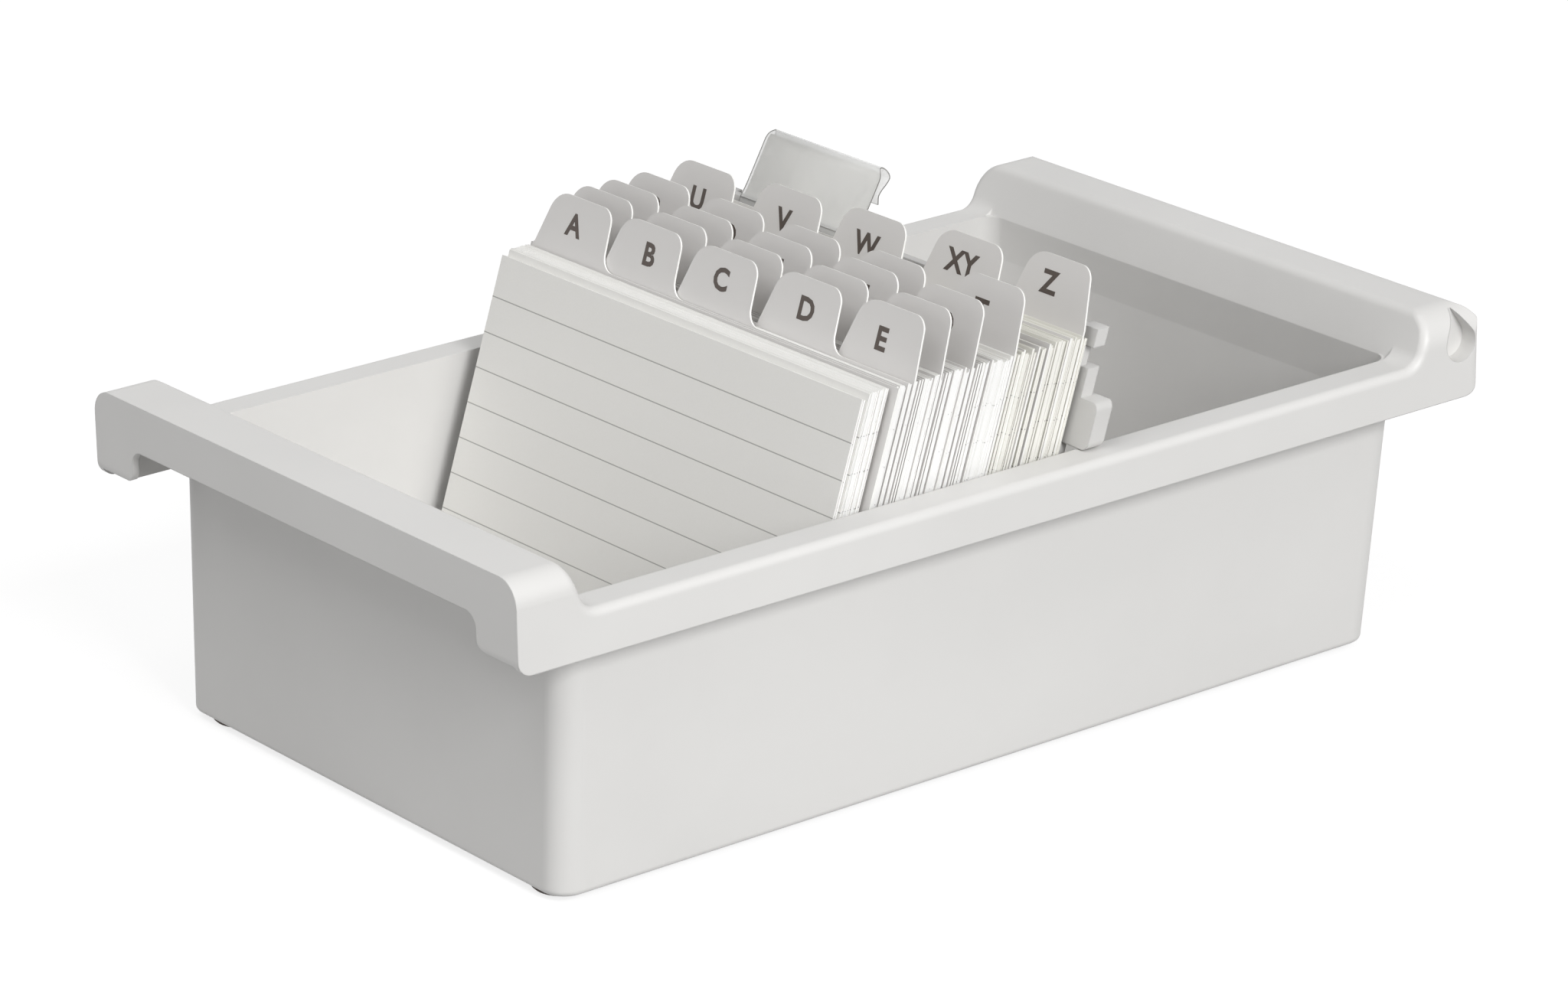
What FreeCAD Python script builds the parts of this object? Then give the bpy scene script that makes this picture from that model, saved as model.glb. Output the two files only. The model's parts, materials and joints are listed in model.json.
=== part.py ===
import FreeCAD, Part
import math
import os
import Sketcher

# Index card drawer: a moulded tray that holds ruled cards and lettered guide
# cards, which lean back on a support plate that rides on the tray's side rims.
# Millimetres, +Z up, handle towards -Y. The origin is under the middle of the
# tray, on the surface that its feet stand on.

LETTERS = [
    "a", "b", "c", "d", "e", "f", "g", "h", "i", "j", "k", "l", "m",
    "n", "o", "p", "q", "r", "s", "t", "u", "v", "w", "xy", "z",
]
TABS_PER_ROW = 5
# Blank cards filed behind each guide, in the order of the letters.
CARDS_BEHIND = [
    0, 0, 8, 5, 3, 0, 0, 10, 5, 3, 0, 4, 11,
    7, 3, 0, 0, 9, 28, 11, 15, 11, 25, 16, 6,
]

SIZES = [
    # tray, outside
    ("rim_width", 180.0, "tray across the rims"),
    ("rim_length", 308.0, "tray from front lip to rear face"),
    ("rim_height", 76.2, "underside of the tub to the top of the side rims"),
    ("skirt_depth", 11.8, "how far the rim's skirt hangs down"),
    ("skirt_wall", 2.0, "thickness of the skirt"),
    ("front_skirt_lift", 2.3, "front skirt's lower edge above the side skirts'"),
    ("rim_plate", 2.4, "thickness of the rim's top"),
    ("wall", 1.8, "thickness of the tub's walls"),
    ("floor_wall", 2.3, "thickness of the tub's floor"),
    ("cavity_width", 159.4, "inside of the tub between the side rims"),
    ("side_draft", 1.0, "how far each side wall leans in at the bottom"),
    ("front_slope", 2.1, "how far the front wall leans out at the bottom"),
    ("rear_slope", 7.2, "how far the rear wall leans in at the bottom"),
    ("tub_corner", 6.7, "outer corner radius of the tub"),
    ("floor_round", 1.5, "outer radius under the tub"),
    # raised bars
    ("front_rise", 11.8, "front bar above the side rims"),
    ("front_bar_top", 16.0, "depth of the front bar's top"),
    ("front_bar_foot", 20.4, "depth of the front bar at the rims"),
    ("front_corner", 6.5, "end radius of the front bar's top"),
    ("rear_rise", 12.5, "rear bar above the side rims"),
    ("rear_bar_top", 17.8, "depth of the rear bar's top"),
    ("rear_bar_foot", 23.2, "depth of the rear bar at the rims"),
    ("rear_corner", 9.0, "end radius of the rear bar's top"),
    ("bar_sweep", 5.0, "radius where a bar meets the side rims"),
    ("skirt_round", 4.0, "radius under the front end of the skirt"),
    ("rim_round", 2.2, "radius along the top of the rims and bars"),
    ("rear_round", 7.0, "radius along the rear top edge"),
    ("rear_low_round", 6.0, "radius under the rear end of the skirt"),
    ("rear_soft_round", 3.0, "radius along the front edge of the rear bar's top"),
    ("rear_upright", 3.5, "radius of the rim's upright rear corners"),
    # finger cut-out under the front bar
    ("grip_width", 147.0, "width of the finger cut-out"),
    ("lip_height", 12.4, "lip left above the finger cut-out"),
    ("grip_round", 4.0, "upper corner radius of the finger cut-out"),
    ("tab_round", 3.0, "lower corner radius beside the finger cut-out"),
    ("web_inset", 3.0, "inner webs beyond the ends of the finger cut-out"),
    ("web_wall", 1.8, "thickness of an inner web"),
    # lid sockets at both ends of the rear bar
    ("socket_radius", 5.1, "radius of the lid socket"),
    ("socket_depth", 5.0, "depth of the lid socket"),
    ("socket_inset", 7.5, "socket axis to the rear face"),
    ("socket_drop", 9.3, "socket axis below the top of the rear bar"),
    ("socket_apex", 8.8, "height of the lead-in's point above the axis"),
    ("socket_block", 9.0, "solid end of the rear bar around the socket"),
    # feet
    ("foot_radius", 7.9, "radius of a foot"),
    ("foot_height", 1.8, "foot below the tub"),
    ("foot_seat", 0.7, "depth of the seat a foot is glued in"),
    ("foot_clearance", 0.1, "seat radius beyond the foot"),
    ("foot_bevel", 0.6, "bevel round the foot's tread"),
    ("foot_side_inset", 11.8, "middle of a foot to the side of the tub"),
    ("foot_end_inset", 9.9, "middle of a foot to the front or rear of the tub"),
    # cards
    ("card_width", 148.0, "card width, DIN A6 laid flat"),
    ("card_height", 105.0, "card height, DIN A6 laid flat"),
    ("card_thickness", 0.22, "one card"),
    ("card_gap", 0.2, "air between neighbouring sheets"),
    ("card_clearance", 0.3, "sheets above the floor"),
    ("pack_front", 82.0, "front card's foot behind the front lip"),
    ("front_cards", 32, "cards in the front pack"),
    ("lean", 18.5, "lean of the cards in degrees"),
    ("guide_thickness", 0.4, "one guide card"),
    ("tab_height", 15.5, "guide tab above its shoulder"),
    ("tab_slant", 5.0, "slant of the tab's left side"),
    ("tab_taper", 1.4, "taper of the tab's right side"),
    ("tab_step", 0.4, "shoulder left beside each tab"),
    ("tab_left_corner", 7.0, "radius of the tab's upper left corner"),
    ("tab_right_corner", 4.0, "radius of the tab's upper right corner"),
    ("tab_sweep", 4.5, "radius where the tab's right side meets its shoulder"),
    # support plate
    ("plate_gap", 0.9, "last card to the support plate"),
    ("plate_thickness", 2.0, "support plate"),
    ("plate_rise", 2.5, "support plate above the cards"),
    ("plate_clearance", 0.4, "support plate above the floor"),
    ("wing_reach", 83.6, "middle of the tray to the wing's tip"),
    ("wing_root", 69.0, "middle of the tray to the wing's root"),
    ("wing_depth", 5.2, "wing from front to rear"),
    ("wing_height", 11.5, "wing above the rims"),
    ("wing_clearance", 0.3, "wing above the rim it rides on"),
    ("wing_round", 2.0, "corner radius of the wing"),
    ("lug_reach", 3.0, "lugs beyond the cards"),
    ("lug_thickness", 3.6, "lugs from front to rear"),
    ("top_lug", 4.6, "height of the upper lug"),
    ("mid_lug", 8.0, "height of the middle lug"),
    ("lug_spacing", 5.0, "middle lug below the upper lug"),
    # label tab
    ("label_width", 48.0, "label tab"),
    ("label_middle", 42.5, "label tab left of the tray's middle"),
    ("label_height", 17.0, "label tab above the support plate"),
    ("label_lean", 34.0, "lean of the label tab in degrees"),
    ("label_sheet", 0.35, "plastic of the label tab"),
    ("label_grip", 6.0, "label tab's hold on the support plate"),
    ("label_clearance", 0.1, "label tab's play on the support plate"),
    ("label_loop", 1.5, "half the width of the fold at the top"),
    ("paper_thickness", 0.25, "label paper"),
    ("paper_margin", 1.2, "label paper inside the tab's edges"),
    ("paper_gap", 0.1, "play on each face of the label paper"),
]

DERIVED = [
    ("zero", "=0"),
    ("half_width", "=rim_width / 2"),
    ("front", "=-rim_length / 2"),
    ("rear", "=rim_length / 2"),
    ("tub_low", "=foot_height"),
    ("inner_floor", "=foot_height + floor_wall"),
    ("rim_top", "=foot_height + rim_height"),
    ("skirt_low", "=rim_top - skirt_depth"),
    ("front_top", "=rim_top + front_rise"),
    ("rear_top", "=rim_top + rear_rise"),
    ("front_bar_back", "=front + front_bar_top"),
    ("cavity_front", "=front + front_bar_foot"),
    ("rear_bar_front", "=rear - rear_bar_top"),
    ("cavity_back", "=rear - rear_bar_foot"),
    # tub and cavity
    ("cavity_half", "=cavity_width / 2"),
    ("tub_half", "=cavity_half + wall"),
    ("tub_front", "=cavity_front - wall"),
    ("tub_back", "=cavity_back + wall"),
    ("tub_half_low", "=tub_half - side_draft"),
    ("tub_front_low", "=tub_front - front_slope"),
    ("tub_back_low", "=tub_back - rear_slope"),
    ("cavity_half_low", "=cavity_half - side_draft"),
    ("cavity_front_low", "=cavity_front - front_slope"),
    ("cavity_back_low", "=cavity_back - rear_slope"),
    ("cavity_corner", "=tub_corner - wall"),
    # hollow under the rim and the bars
    ("skirt_half_inner", "=half_width - skirt_wall"),
    ("skirt_front_inner", "=front + skirt_wall"),
    ("skirt_back_inner", "=rear - skirt_wall"),
    ("skirt_corner", "=skirt_round / 2"),
    ("rim_under", "=rim_top - rim_plate"),
    ("rim_hollow", "=rim_under - skirt_low"),
    ("front_under", "=front_top - rim_plate"),
    ("rear_under", "=rear_top - rim_plate"),
    ("front_core_back", "=front_bar_back - wall"),
    ("rear_core_back", "=rear - rear_round"),
    ("rear_core_low", "=rear_top - rear_round"),
    ("rear_core_front", "=rear_bar_front + wall"),
    ("front_core_width", "=rim_width - 4 * wall"),
    ("rear_core_width", "=rim_width - 2 * socket_block"),
    # finger cut-out
    ("grip_half", "=grip_width / 2"),
    ("grip_top", "=front_top - lip_height"),
    ("grip_low", "=skirt_low - 2 * grip_round"),
    ("grip_depth", "=skirt_wall + floor_wall"),
    ("front_skirt_low", "=skirt_low + front_skirt_lift"),
    ("front_skirt_under", "=skirt_low - front_skirt_lift"),
    ("web_half", "=grip_half + web_inset"),
    ("web_front", "=front + skirt_wall / 2"),
    ("web_top", "=front_top - rim_plate / 2"),
    # room round the rim for the cuts that leave its corners round
    ("clear_low", "=skirt_low - skirt_depth"),
    ("clear_front", "=front - skirt_depth"),
    ("beyond_half", "=half_width + skirt_depth"),
    ("beyond_front", "=clear_front - skirt_depth"),
    ("beyond_rear", "=rear + skirt_depth"),
    ("beyond_low", "=clear_low - skirt_depth"),
    ("beyond_top", "=rear_top + skirt_depth"),
    ("bar_cut", "=rim_length / 2 + skirt_depth"),
    ("upright_cut", "=beyond_top - clear_low"),
    # lid sockets
    ("socket_y", "=rear - socket_inset"),
    ("socket_z", "=rear_top - socket_drop"),
    ("socket_point", "=socket_z + socket_apex"),
    ("boss_front", "=socket_y - socket_radius - wall"),
    ("boss_back", "=rear - 3 * skirt_wall / 4"),
    ("boss_low", "=socket_z - socket_radius - wall"),
    ("boss_root", "=half_width - socket_block"),
    ("boss_length", "=socket_block - skirt_wall / 2"),
    # feet
    ("foot_x", "=tub_half_low - foot_side_inset"),
    ("foot_front_y", "=tub_front_low + foot_end_inset"),
    ("foot_rear_y", "=tub_back_low - foot_end_inset"),
    ("seat_radius", "=foot_radius + foot_clearance"),
    ("foot_length", "=foot_height + foot_seat"),
    # cards
    ("lean_tan", "=tan(lean * 1deg)"),
    ("lean_cos", "=cos(lean * 1deg)"),
    ("card_half", "=card_width / 2"),
    ("card_low", "=inner_floor + card_clearance"),
    ("card_rise", "=card_height * lean_cos"),
    ("card_shift", "=card_rise * lean_tan"),
    ("tab_top", "=card_height + tab_height"),
    ("guide_pitch", "=(guide_thickness + 2 * card_gap) / lean_cos"),
    ("card_pitch", "=card_thickness / lean_cos"),
    ("behind_guide", "=(guide_thickness + card_gap) / lean_cos"),
    ("card_station", "=front + pack_front"),
    ("pack_station", "=card_station + (card_thickness + card_gap) / lean_cos"),
    ("pack_front_pack", "=front_cards * card_pitch"),
    ("pack_back_front_pack", "=pack_front_pack + card_shift"),
    # support plate, measured from its foot
    ("plate_low", "=inner_floor + plate_clearance"),
    ("plate_level", "=plate_thickness / lean_cos"),
    ("plate_up", "=card_low + card_rise + plate_rise - plate_low"),
    ("plate_shift", "=plate_up * lean_tan"),
    ("plate_back", "=plate_shift + plate_level"),
    ("wing_low", "=rim_top + wing_clearance - plate_low"),
    ("wing_high", "=wing_low + wing_height"),
    ("wing_low_front", "=wing_low * lean_tan"),
    ("wing_low_back", "=wing_low_front + wing_depth"),
    ("wing_high_front", "=wing_high * lean_tan"),
    ("wing_high_back", "=wing_high_front + wing_depth"),
    ("wing_length", "=wing_reach - wing_root"),
    ("lug_root", "=card_half - lug_reach"),
    ("lug_length", "=2 * lug_reach"),
    ("lug_level", "=lug_thickness / lean_cos"),
    ("top_lug_low", "=plate_up - top_lug"),
    ("top_lug_low_front", "=top_lug_low * lean_tan"),
    ("top_lug_low_back", "=top_lug_low_front + lug_level"),
    ("top_lug_high", "=plate_up"),
    ("top_lug_high_front", "=plate_shift"),
    ("top_lug_high_back", "=plate_shift + lug_level"),
    ("mid_lug_high", "=top_lug_low - lug_spacing"),
    ("mid_lug_low", "=mid_lug_high - mid_lug"),
    ("mid_lug_high_front", "=mid_lug_high * lean_tan"),
    ("mid_lug_high_back", "=mid_lug_high_front + lug_level"),
    ("mid_lug_low_front", "=mid_lug_low * lean_tan"),
    ("mid_lug_low_back", "=mid_lug_low_front + lug_level"),
    # label tab, measured from the support plate's foot
    ("label_tan", "=tan(label_lean * 1deg)"),
    ("label_left", "=-label_middle"),
    ("grip_z", "=plate_up - label_grip"),
    ("label_top", "=plate_up + label_height"),
    ("pinch_z", "=plate_up + label_height / 2"),
    ("leaf", "=label_sheet / lean_cos"),
    ("front_leaf_low", "=grip_z * lean_tan - label_clearance - leaf"),
    ("front_leaf_low_in", "=front_leaf_low + leaf"),
    ("front_leaf_bend", "=plate_shift - label_clearance - leaf"),
    ("front_leaf_bend_in", "=front_leaf_bend + leaf"),
    ("front_leaf_top", "=front_leaf_bend + label_height * label_tan"),
    ("fold_in", "=label_top - leaf"),
    ("front_leaf_top_in", "=front_leaf_top + leaf - leaf * label_tan"),
    ("rear_leaf_top", "=front_leaf_top + 2 * label_loop + 2 * leaf"),
    ("rear_leaf_top_in", "=rear_leaf_top - leaf"),
    ("paper_level", "=(paper_thickness + 2 * paper_gap) / cos(label_lean * 1deg)"),
    ("rear_leaf_pinch_in", "=front_leaf_bend_in + label_tan * label_height / 2 + paper_level"),
    ("rear_leaf_pinch", "=rear_leaf_pinch_in + leaf"),
    ("rear_leaf_bend_in", "=plate_back + label_clearance"),
    ("rear_leaf_bend", "=rear_leaf_bend_in + leaf"),
    ("rear_grip_z", "=plate_up - label_grip / 2"),
    ("rear_leaf_low_in", "=rear_leaf_bend_in - label_grip * lean_tan / 2"),
    ("rear_leaf_low", "=rear_leaf_low_in + leaf"),
    # label paper
    ("paper_low", "=plate_up + paper_margin"),
    ("paper_high", "=label_top - 2 * paper_margin"),
    ("paper_sheet", "=paper_thickness / cos(label_lean * 1deg)"),
    ("paper_play", "=paper_gap / cos(label_lean * 1deg)"),
    ("paper_low_front", "=front_leaf_bend_in + paper_play + (paper_low - plate_up) * label_tan"),
    ("paper_low_back", "=paper_low_front + paper_sheet"),
    ("paper_high_front", "=front_leaf_bend_in + paper_play + (paper_high - plate_up) * label_tan"),
    ("paper_high_back", "=paper_high_front + paper_sheet"),
    ("paper_width", "=label_width - 2 * paper_margin"),
]

NEAR = 0.01


def tab_cells():
    """Work out where the five guide tabs stand across a card."""
    cells = []
    for column in range(TABS_PER_ROW):
        left = f"=-card_half + {column} * card_width / {TABS_PER_ROW} + tab_step"
        right = f"=-card_half + {column + 1} * card_width / {TABS_PER_ROW} - tab_step"
        cells.append((f"tab_left_{column}", left))
        cells.append((f"tab_right_{column}", right))
        cells.append((f"tab_left_top_{column}", f"=tab_left_{column} + tab_slant"))
        cells.append((f"tab_right_top_{column}", f"=tab_right_{column} - tab_taper"))
    return cells


def filing_cells():
    """Work out where each guide and the cards filed behind it stand in the tray."""
    cells = []
    place = "=pack_station + pack_front_pack + card_gap / lean_cos"
    for letter, count in zip(LETTERS, CARDS_BEHIND):
        cells.append((f"station_{letter}", place))
        cells.append((f"filed_{letter}", str(count)))
        cells.append((f"pack_{letter}", f"=filed_{letter} * card_pitch"))
        cells.append((f"pack_back_{letter}", f"=pack_{letter} + card_shift"))
        place = f"=station_{letter} + guide_pitch + pack_{letter}"
    cells.append(("plate_station", place + " + plate_gap"))
    return cells


def make_sheet():
    """Put the driving sizes and the places worked out from them in a spreadsheet."""
    table = doc.addObject("Spreadsheet::Sheet", "sizes")
    table.Label = "sizes"
    rows = [(alias, str(number), note) for alias, number, note in SIZES]
    for alias, formula in DERIVED + tab_cells() + filing_cells():
        rows.append((alias, formula, alias.replace("_", " ")))
    for row, (alias, content, note) in enumerate(rows, 1):
        table.set(f"A{row}", note)
        table.set(f"B{row}", content)
        table.setAlias(f"B{row}", alias)
    doc.recompute()
    return table


def size(name):
    """Read a size from the spreadsheet; a leading minus turns it round."""
    if name.startswith("-"):
        return -float(sheet.get(name[1:]))
    return float(sheet.get(name))


def bound(name):
    """Write the expression that follows a size in the spreadsheet."""
    if name.startswith("-"):
        return f"-sizes.{name[1:]}"
    return f"sizes.{name}"


def make_body(name):
    """Start a sub-part under its own label."""
    body = doc.addObject("PartDesign::Body", name)
    body.Label = name
    return body


def origin_plane(body, role):
    """Find one of the body's own base planes."""
    for feature in body.Origin.OriginFeatures:
        if feature.Role == role:
            return feature
    raise ValueError(role)


def make_sketch(body, name, role, offset="zero"):
    """Put an empty sketch on a base plane, moved along that plane's normal."""
    sketch = body.newObject("Sketcher::SketchObject", name)
    sketch.AttachmentSupport = [(origin_plane(body, role), "")]
    sketch.MapMode = "FlatFace"
    sketch.setExpression("AttachmentOffset.Base.z", bound(offset))
    return sketch


def pin(sketch, kind, geometry, point, name):
    """Hold one point of a sketch at a named distance from its origin."""
    number = sketch.addConstraint(
        Sketcher.Constraint(kind, -1, 1, geometry, point, size(name)))
    sketch.setExpression(f"Constraints[{number}]", bound(name))


def draw_polygon(sketch, points):
    """Draw a closed outline whose corners stand at named places."""
    corners = [FreeCAD.Vector(size(across), size(up), 0) for across, up in points]
    count = len(corners)
    first = sketch.GeometryCount
    for index in range(count):
        line = Part.LineSegment(corners[index], corners[(index + 1) % count])
        sketch.addGeometry(line)
    for index, (across, up) in enumerate(points):
        following = first + (index + 1) % count
        sketch.addConstraint(
            Sketcher.Constraint("Coincident", first + index, 2, following, 1))
        pin(sketch, "DistanceX", first + index, 1, across)
        pin(sketch, "DistanceY", first + index, 1, up)


def draw_rounded_rectangle(sketch, left, right, low, high, radius):
    """Draw a rectangle with four equal round corners between named places."""
    x0, x1, y0, y1, r = (size(name) for name in (left, right, low, high, radius))
    quarter = math.pi / 2
    up = FreeCAD.Vector(0, 0, 1)
    sides = [
        ((x0 + r, y0), (x1 - r, y0)), ((x1, y0 + r), (x1, y1 - r)),
        ((x1 - r, y1), (x0 + r, y1)), ((x0, y1 - r), (x0, y0 + r)),
    ]
    centres = [(x1 - r, y0 + r), (x1 - r, y1 - r), (x0 + r, y1 - r), (x0 + r, y0 + r)]
    for turn, (side, centre) in enumerate(zip(sides, centres)):
        ends = [FreeCAD.Vector(x, y, 0) for x, y in side]
        sketch.addGeometry(Part.LineSegment(*ends))
        circle = Part.Circle(FreeCAD.Vector(*centre, 0), up, r)
        start = (turn - 1) * quarter
        sketch.addGeometry(Part.ArcOfCircle(circle, start, start + quarter))
    for index in range(8):
        sketch.addConstraint(Sketcher.Constraint("Tangent", index, 2, (index + 1) % 8, 1))
    for index, kind in ((0, "Horizontal"), (2, "Vertical"), (4, "Horizontal"), (6, "Vertical")):
        sketch.addConstraint(Sketcher.Constraint(kind, index))
    for index in (3, 5, 7):
        sketch.addConstraint(Sketcher.Constraint("Equal", 1, index))
    number = sketch.addConstraint(Sketcher.Constraint("Radius", 1, r))
    sketch.setExpression(f"Constraints[{number}]", bound(radius))
    pin(sketch, "DistanceY", 0, 1, low)
    pin(sketch, "DistanceX", 2, 1, right)
    pin(sketch, "DistanceY", 4, 1, high)
    pin(sketch, "DistanceX", 6, 1, left)


def draw_circles(sketch, radius, centres):
    """Draw equal circles round named points."""
    up = FreeCAD.Vector(0, 0, 1)
    for index, (across, along) in enumerate(centres):
        centre = FreeCAD.Vector(size(across), size(along), 0)
        sketch.addGeometry(Part.Circle(centre, up, size(radius)))
        number = sketch.addConstraint(Sketcher.Constraint("Radius", index, size(radius)))
        sketch.setExpression(f"Constraints[{number}]", bound(radius))
        pin(sketch, "DistanceX", index, 3, across)
        pin(sketch, "DistanceY", index, 3, along)


def draw_teardrop(sketch, across, along, radius, point):
    """Draw a round socket whose two tangents meet in a point above it."""
    x, y, r, tip = (size(name) for name in (across, along, radius, point))
    opening = math.acos(r / (tip - y))
    up = FreeCAD.Vector(0, 0, 1)
    circle = Part.Circle(FreeCAD.Vector(x, y, 0), up, r)
    start = math.pi / 2 + opening
    end = 5 * math.pi / 2 - opening
    apex = FreeCAD.Vector(x, tip, 0)
    left = FreeCAD.Vector(x + r * math.cos(start), y + r * math.sin(start), 0)
    right = FreeCAD.Vector(x + r * math.cos(end), y + r * math.sin(end), 0)
    sketch.addGeometry(Part.ArcOfCircle(circle, start, end))
    sketch.addGeometry(Part.LineSegment(right, apex))
    sketch.addGeometry(Part.LineSegment(apex, left))
    sketch.addConstraint(Sketcher.Constraint("Tangent", 0, 2, 1, 1))
    sketch.addConstraint(Sketcher.Constraint("Coincident", 1, 2, 2, 1))
    sketch.addConstraint(Sketcher.Constraint("Tangent", 2, 2, 0, 1))
    number = sketch.addConstraint(Sketcher.Constraint("Radius", 0, r))
    sketch.setExpression(f"Constraints[{number}]", bound(radius))
    pin(sketch, "DistanceX", 0, 3, across)
    pin(sketch, "DistanceY", 0, 3, along)
    pin(sketch, "DistanceX", 1, 2, across)
    pin(sketch, "DistanceY", 1, 2, point)


def add_pad(body, name, sketch, length, both_ways=False, backwards=False):
    """Push a sketch out into a solid."""
    pad = body.newObject("PartDesign::Pad", name)
    pad.Profile = sketch
    pad.SideType = "Symmetric" if both_ways else "One side"
    pad.Reversed = backwards
    pad.setExpression("Length", bound(length))
    doc.recompute()
    return pad


def cut_pocket(body, name, sketch, length, both_ways=False, backwards=False):
    """Push a sketch into the body to cut it."""
    pocket = body.newObject("PartDesign::Pocket", name)
    pocket.Profile = sketch
    pocket.SideType = "Symmetric" if both_ways else "One side"
    pocket.Reversed = backwards
    pocket.setExpression("Length", bound(length))
    doc.recompute()
    return pocket


def join_sections(body, name, kind, lower, upper):
    """Join two sketches with straight sides, as a solid or as a cut."""
    loft = body.newObject(f"PartDesign::{kind}", name)
    loft.Profile = lower
    loft.Sections = [upper]
    loft.Ruled = True
    doc.recompute()
    return loft


def mirror_across(body, name, feature):
    """Repeat a feature on the other side of the tray's middle."""
    mirror = body.newObject("PartDesign::Mirrored", name)
    mirror.Originals = [feature]
    mirror.MirrorPlane = (origin_plane(body, "YZ_Plane"), [""])
    body.Tip = mirror
    doc.recompute()
    return mirror


def keeps_to(edge, across=None, along=None, up=None):
    """Tell whether an edge keeps to the given places, on either side of the middle."""
    box = edge.BoundBox
    spans = [(along, box.YMin, box.YMax), (up, box.ZMin, box.ZMax)]
    if across:
        place = abs(size(across))
        if box.XMax - box.XMin > NEAR or abs(abs(box.XMax) - place) > NEAR:
            return False
    for name, low, high in spans:
        if name and (abs(low - size(name)) > NEAR or abs(high - size(name)) > NEAR):
            return False
    return True


def pick_edges(base, places):
    """List the edges of a feature that keep to named places."""
    picked = []
    for number, edge in enumerate(base.Shape.Edges, 1):
        if any(keeps_to(edge, **place) for place in places):
            picked.append(f"Edge{number}")
    return picked


def round_edges(body, name, radius, *places):
    """Round the edges of the body's last feature that keep to named places."""
    base = body.Tip
    picked = pick_edges(base, places)
    fillet = body.newObject("PartDesign::Fillet", name)
    fillet.Base = (base, picked)
    fillet.setExpression("Radius", bound(radius))
    doc.recompute()
    return fillet


def bevel_edges(body, name, width, *places):
    """Bevel the edges of the body's last feature that keep to named places."""
    base = body.Tip
    picked = pick_edges(base, places)
    bevel = body.newObject("PartDesign::Chamfer", name)
    bevel.Base = (base, picked)
    bevel.setExpression("Size", bound(width))
    doc.recompute()
    return bevel


def trim_corners(body, name, sketch, box, radius, beyond, length, backwards=False):
    """Cut away what stands outside a rectangle with round corners."""
    left, right, low, high = box
    draw_rounded_rectangle(sketch, left, right, low, high, radius)
    left, right, low, high = beyond
    draw_polygon(sketch, [(left, low), (right, low), (right, high), (left, high)])
    cut_pocket(body, name, sketch, length, backwards=backwards)


def make_rim(body):
    """Rim with its front and rear bars, pushed out from the side view and trimmed."""
    side_view = make_sketch(body, "rim_side_view", "YZ_Plane")
    draw_polygon(side_view, [
        ("front", "skirt_low"), ("rear", "skirt_low"),
        ("rear", "rear_top"), ("rear_bar_front", "rear_top"),
        ("cavity_back", "rim_top"), ("cavity_front", "rim_top"),
        ("front_bar_back", "front_top"), ("front", "front_top"),
    ])
    add_pad(body, "rim_block", side_view, "rim_width", both_ways=True)
    round_edges(body, "bar_sweeps", "bar_sweep",
                {"along": "cavity_front", "up": "rim_top"},
                {"along": "cavity_back", "up": "rim_top"})
    round_edges(body, "skirt_front", "skirt_round", {"along": "front", "up": "skirt_low"})
    round_edges(body, "skirt_rear", "rear_low_round", {"along": "rear", "up": "skirt_low"})
    round_edges(body, "rear_back", "rear_round", {"along": "rear", "up": "rear_top"})
    round_edges(body, "rear_soft", "rear_soft_round",
                {"along": "rear_bar_front", "up": "rear_top"})
    beyond = ("-beyond_half", "beyond_half", "beyond_low", "beyond_top")
    front_ends = make_sketch(body, "front_ends_view", "XZ_Plane")
    trim_corners(body, "front_ends", front_ends,
                 ("-half_width", "half_width", "clear_low", "front_top"),
                 "front_corner", beyond, "bar_cut", backwards=True)
    rear_ends = make_sketch(body, "rear_ends_view", "XZ_Plane")
    trim_corners(body, "rear_ends", rear_ends,
                 ("-half_width", "half_width", "clear_low", "rear_top"),
                 "rear_corner", beyond, "bar_cut")
    uprights = make_sketch(body, "uprights_view", "XY_Plane", "clear_low")
    trim_corners(body, "rear_uprights", uprights,
                 ("-half_width", "half_width", "clear_front", "rear"), "rear_upright",
                 ("-beyond_half", "beyond_half", "beyond_front", "beyond_rear"),
                 "upright_cut", backwards=True)
    round_edges(body, "rim_edges", "rim_round",
                {"across": "half_width", "up": "rim_top"})


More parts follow.
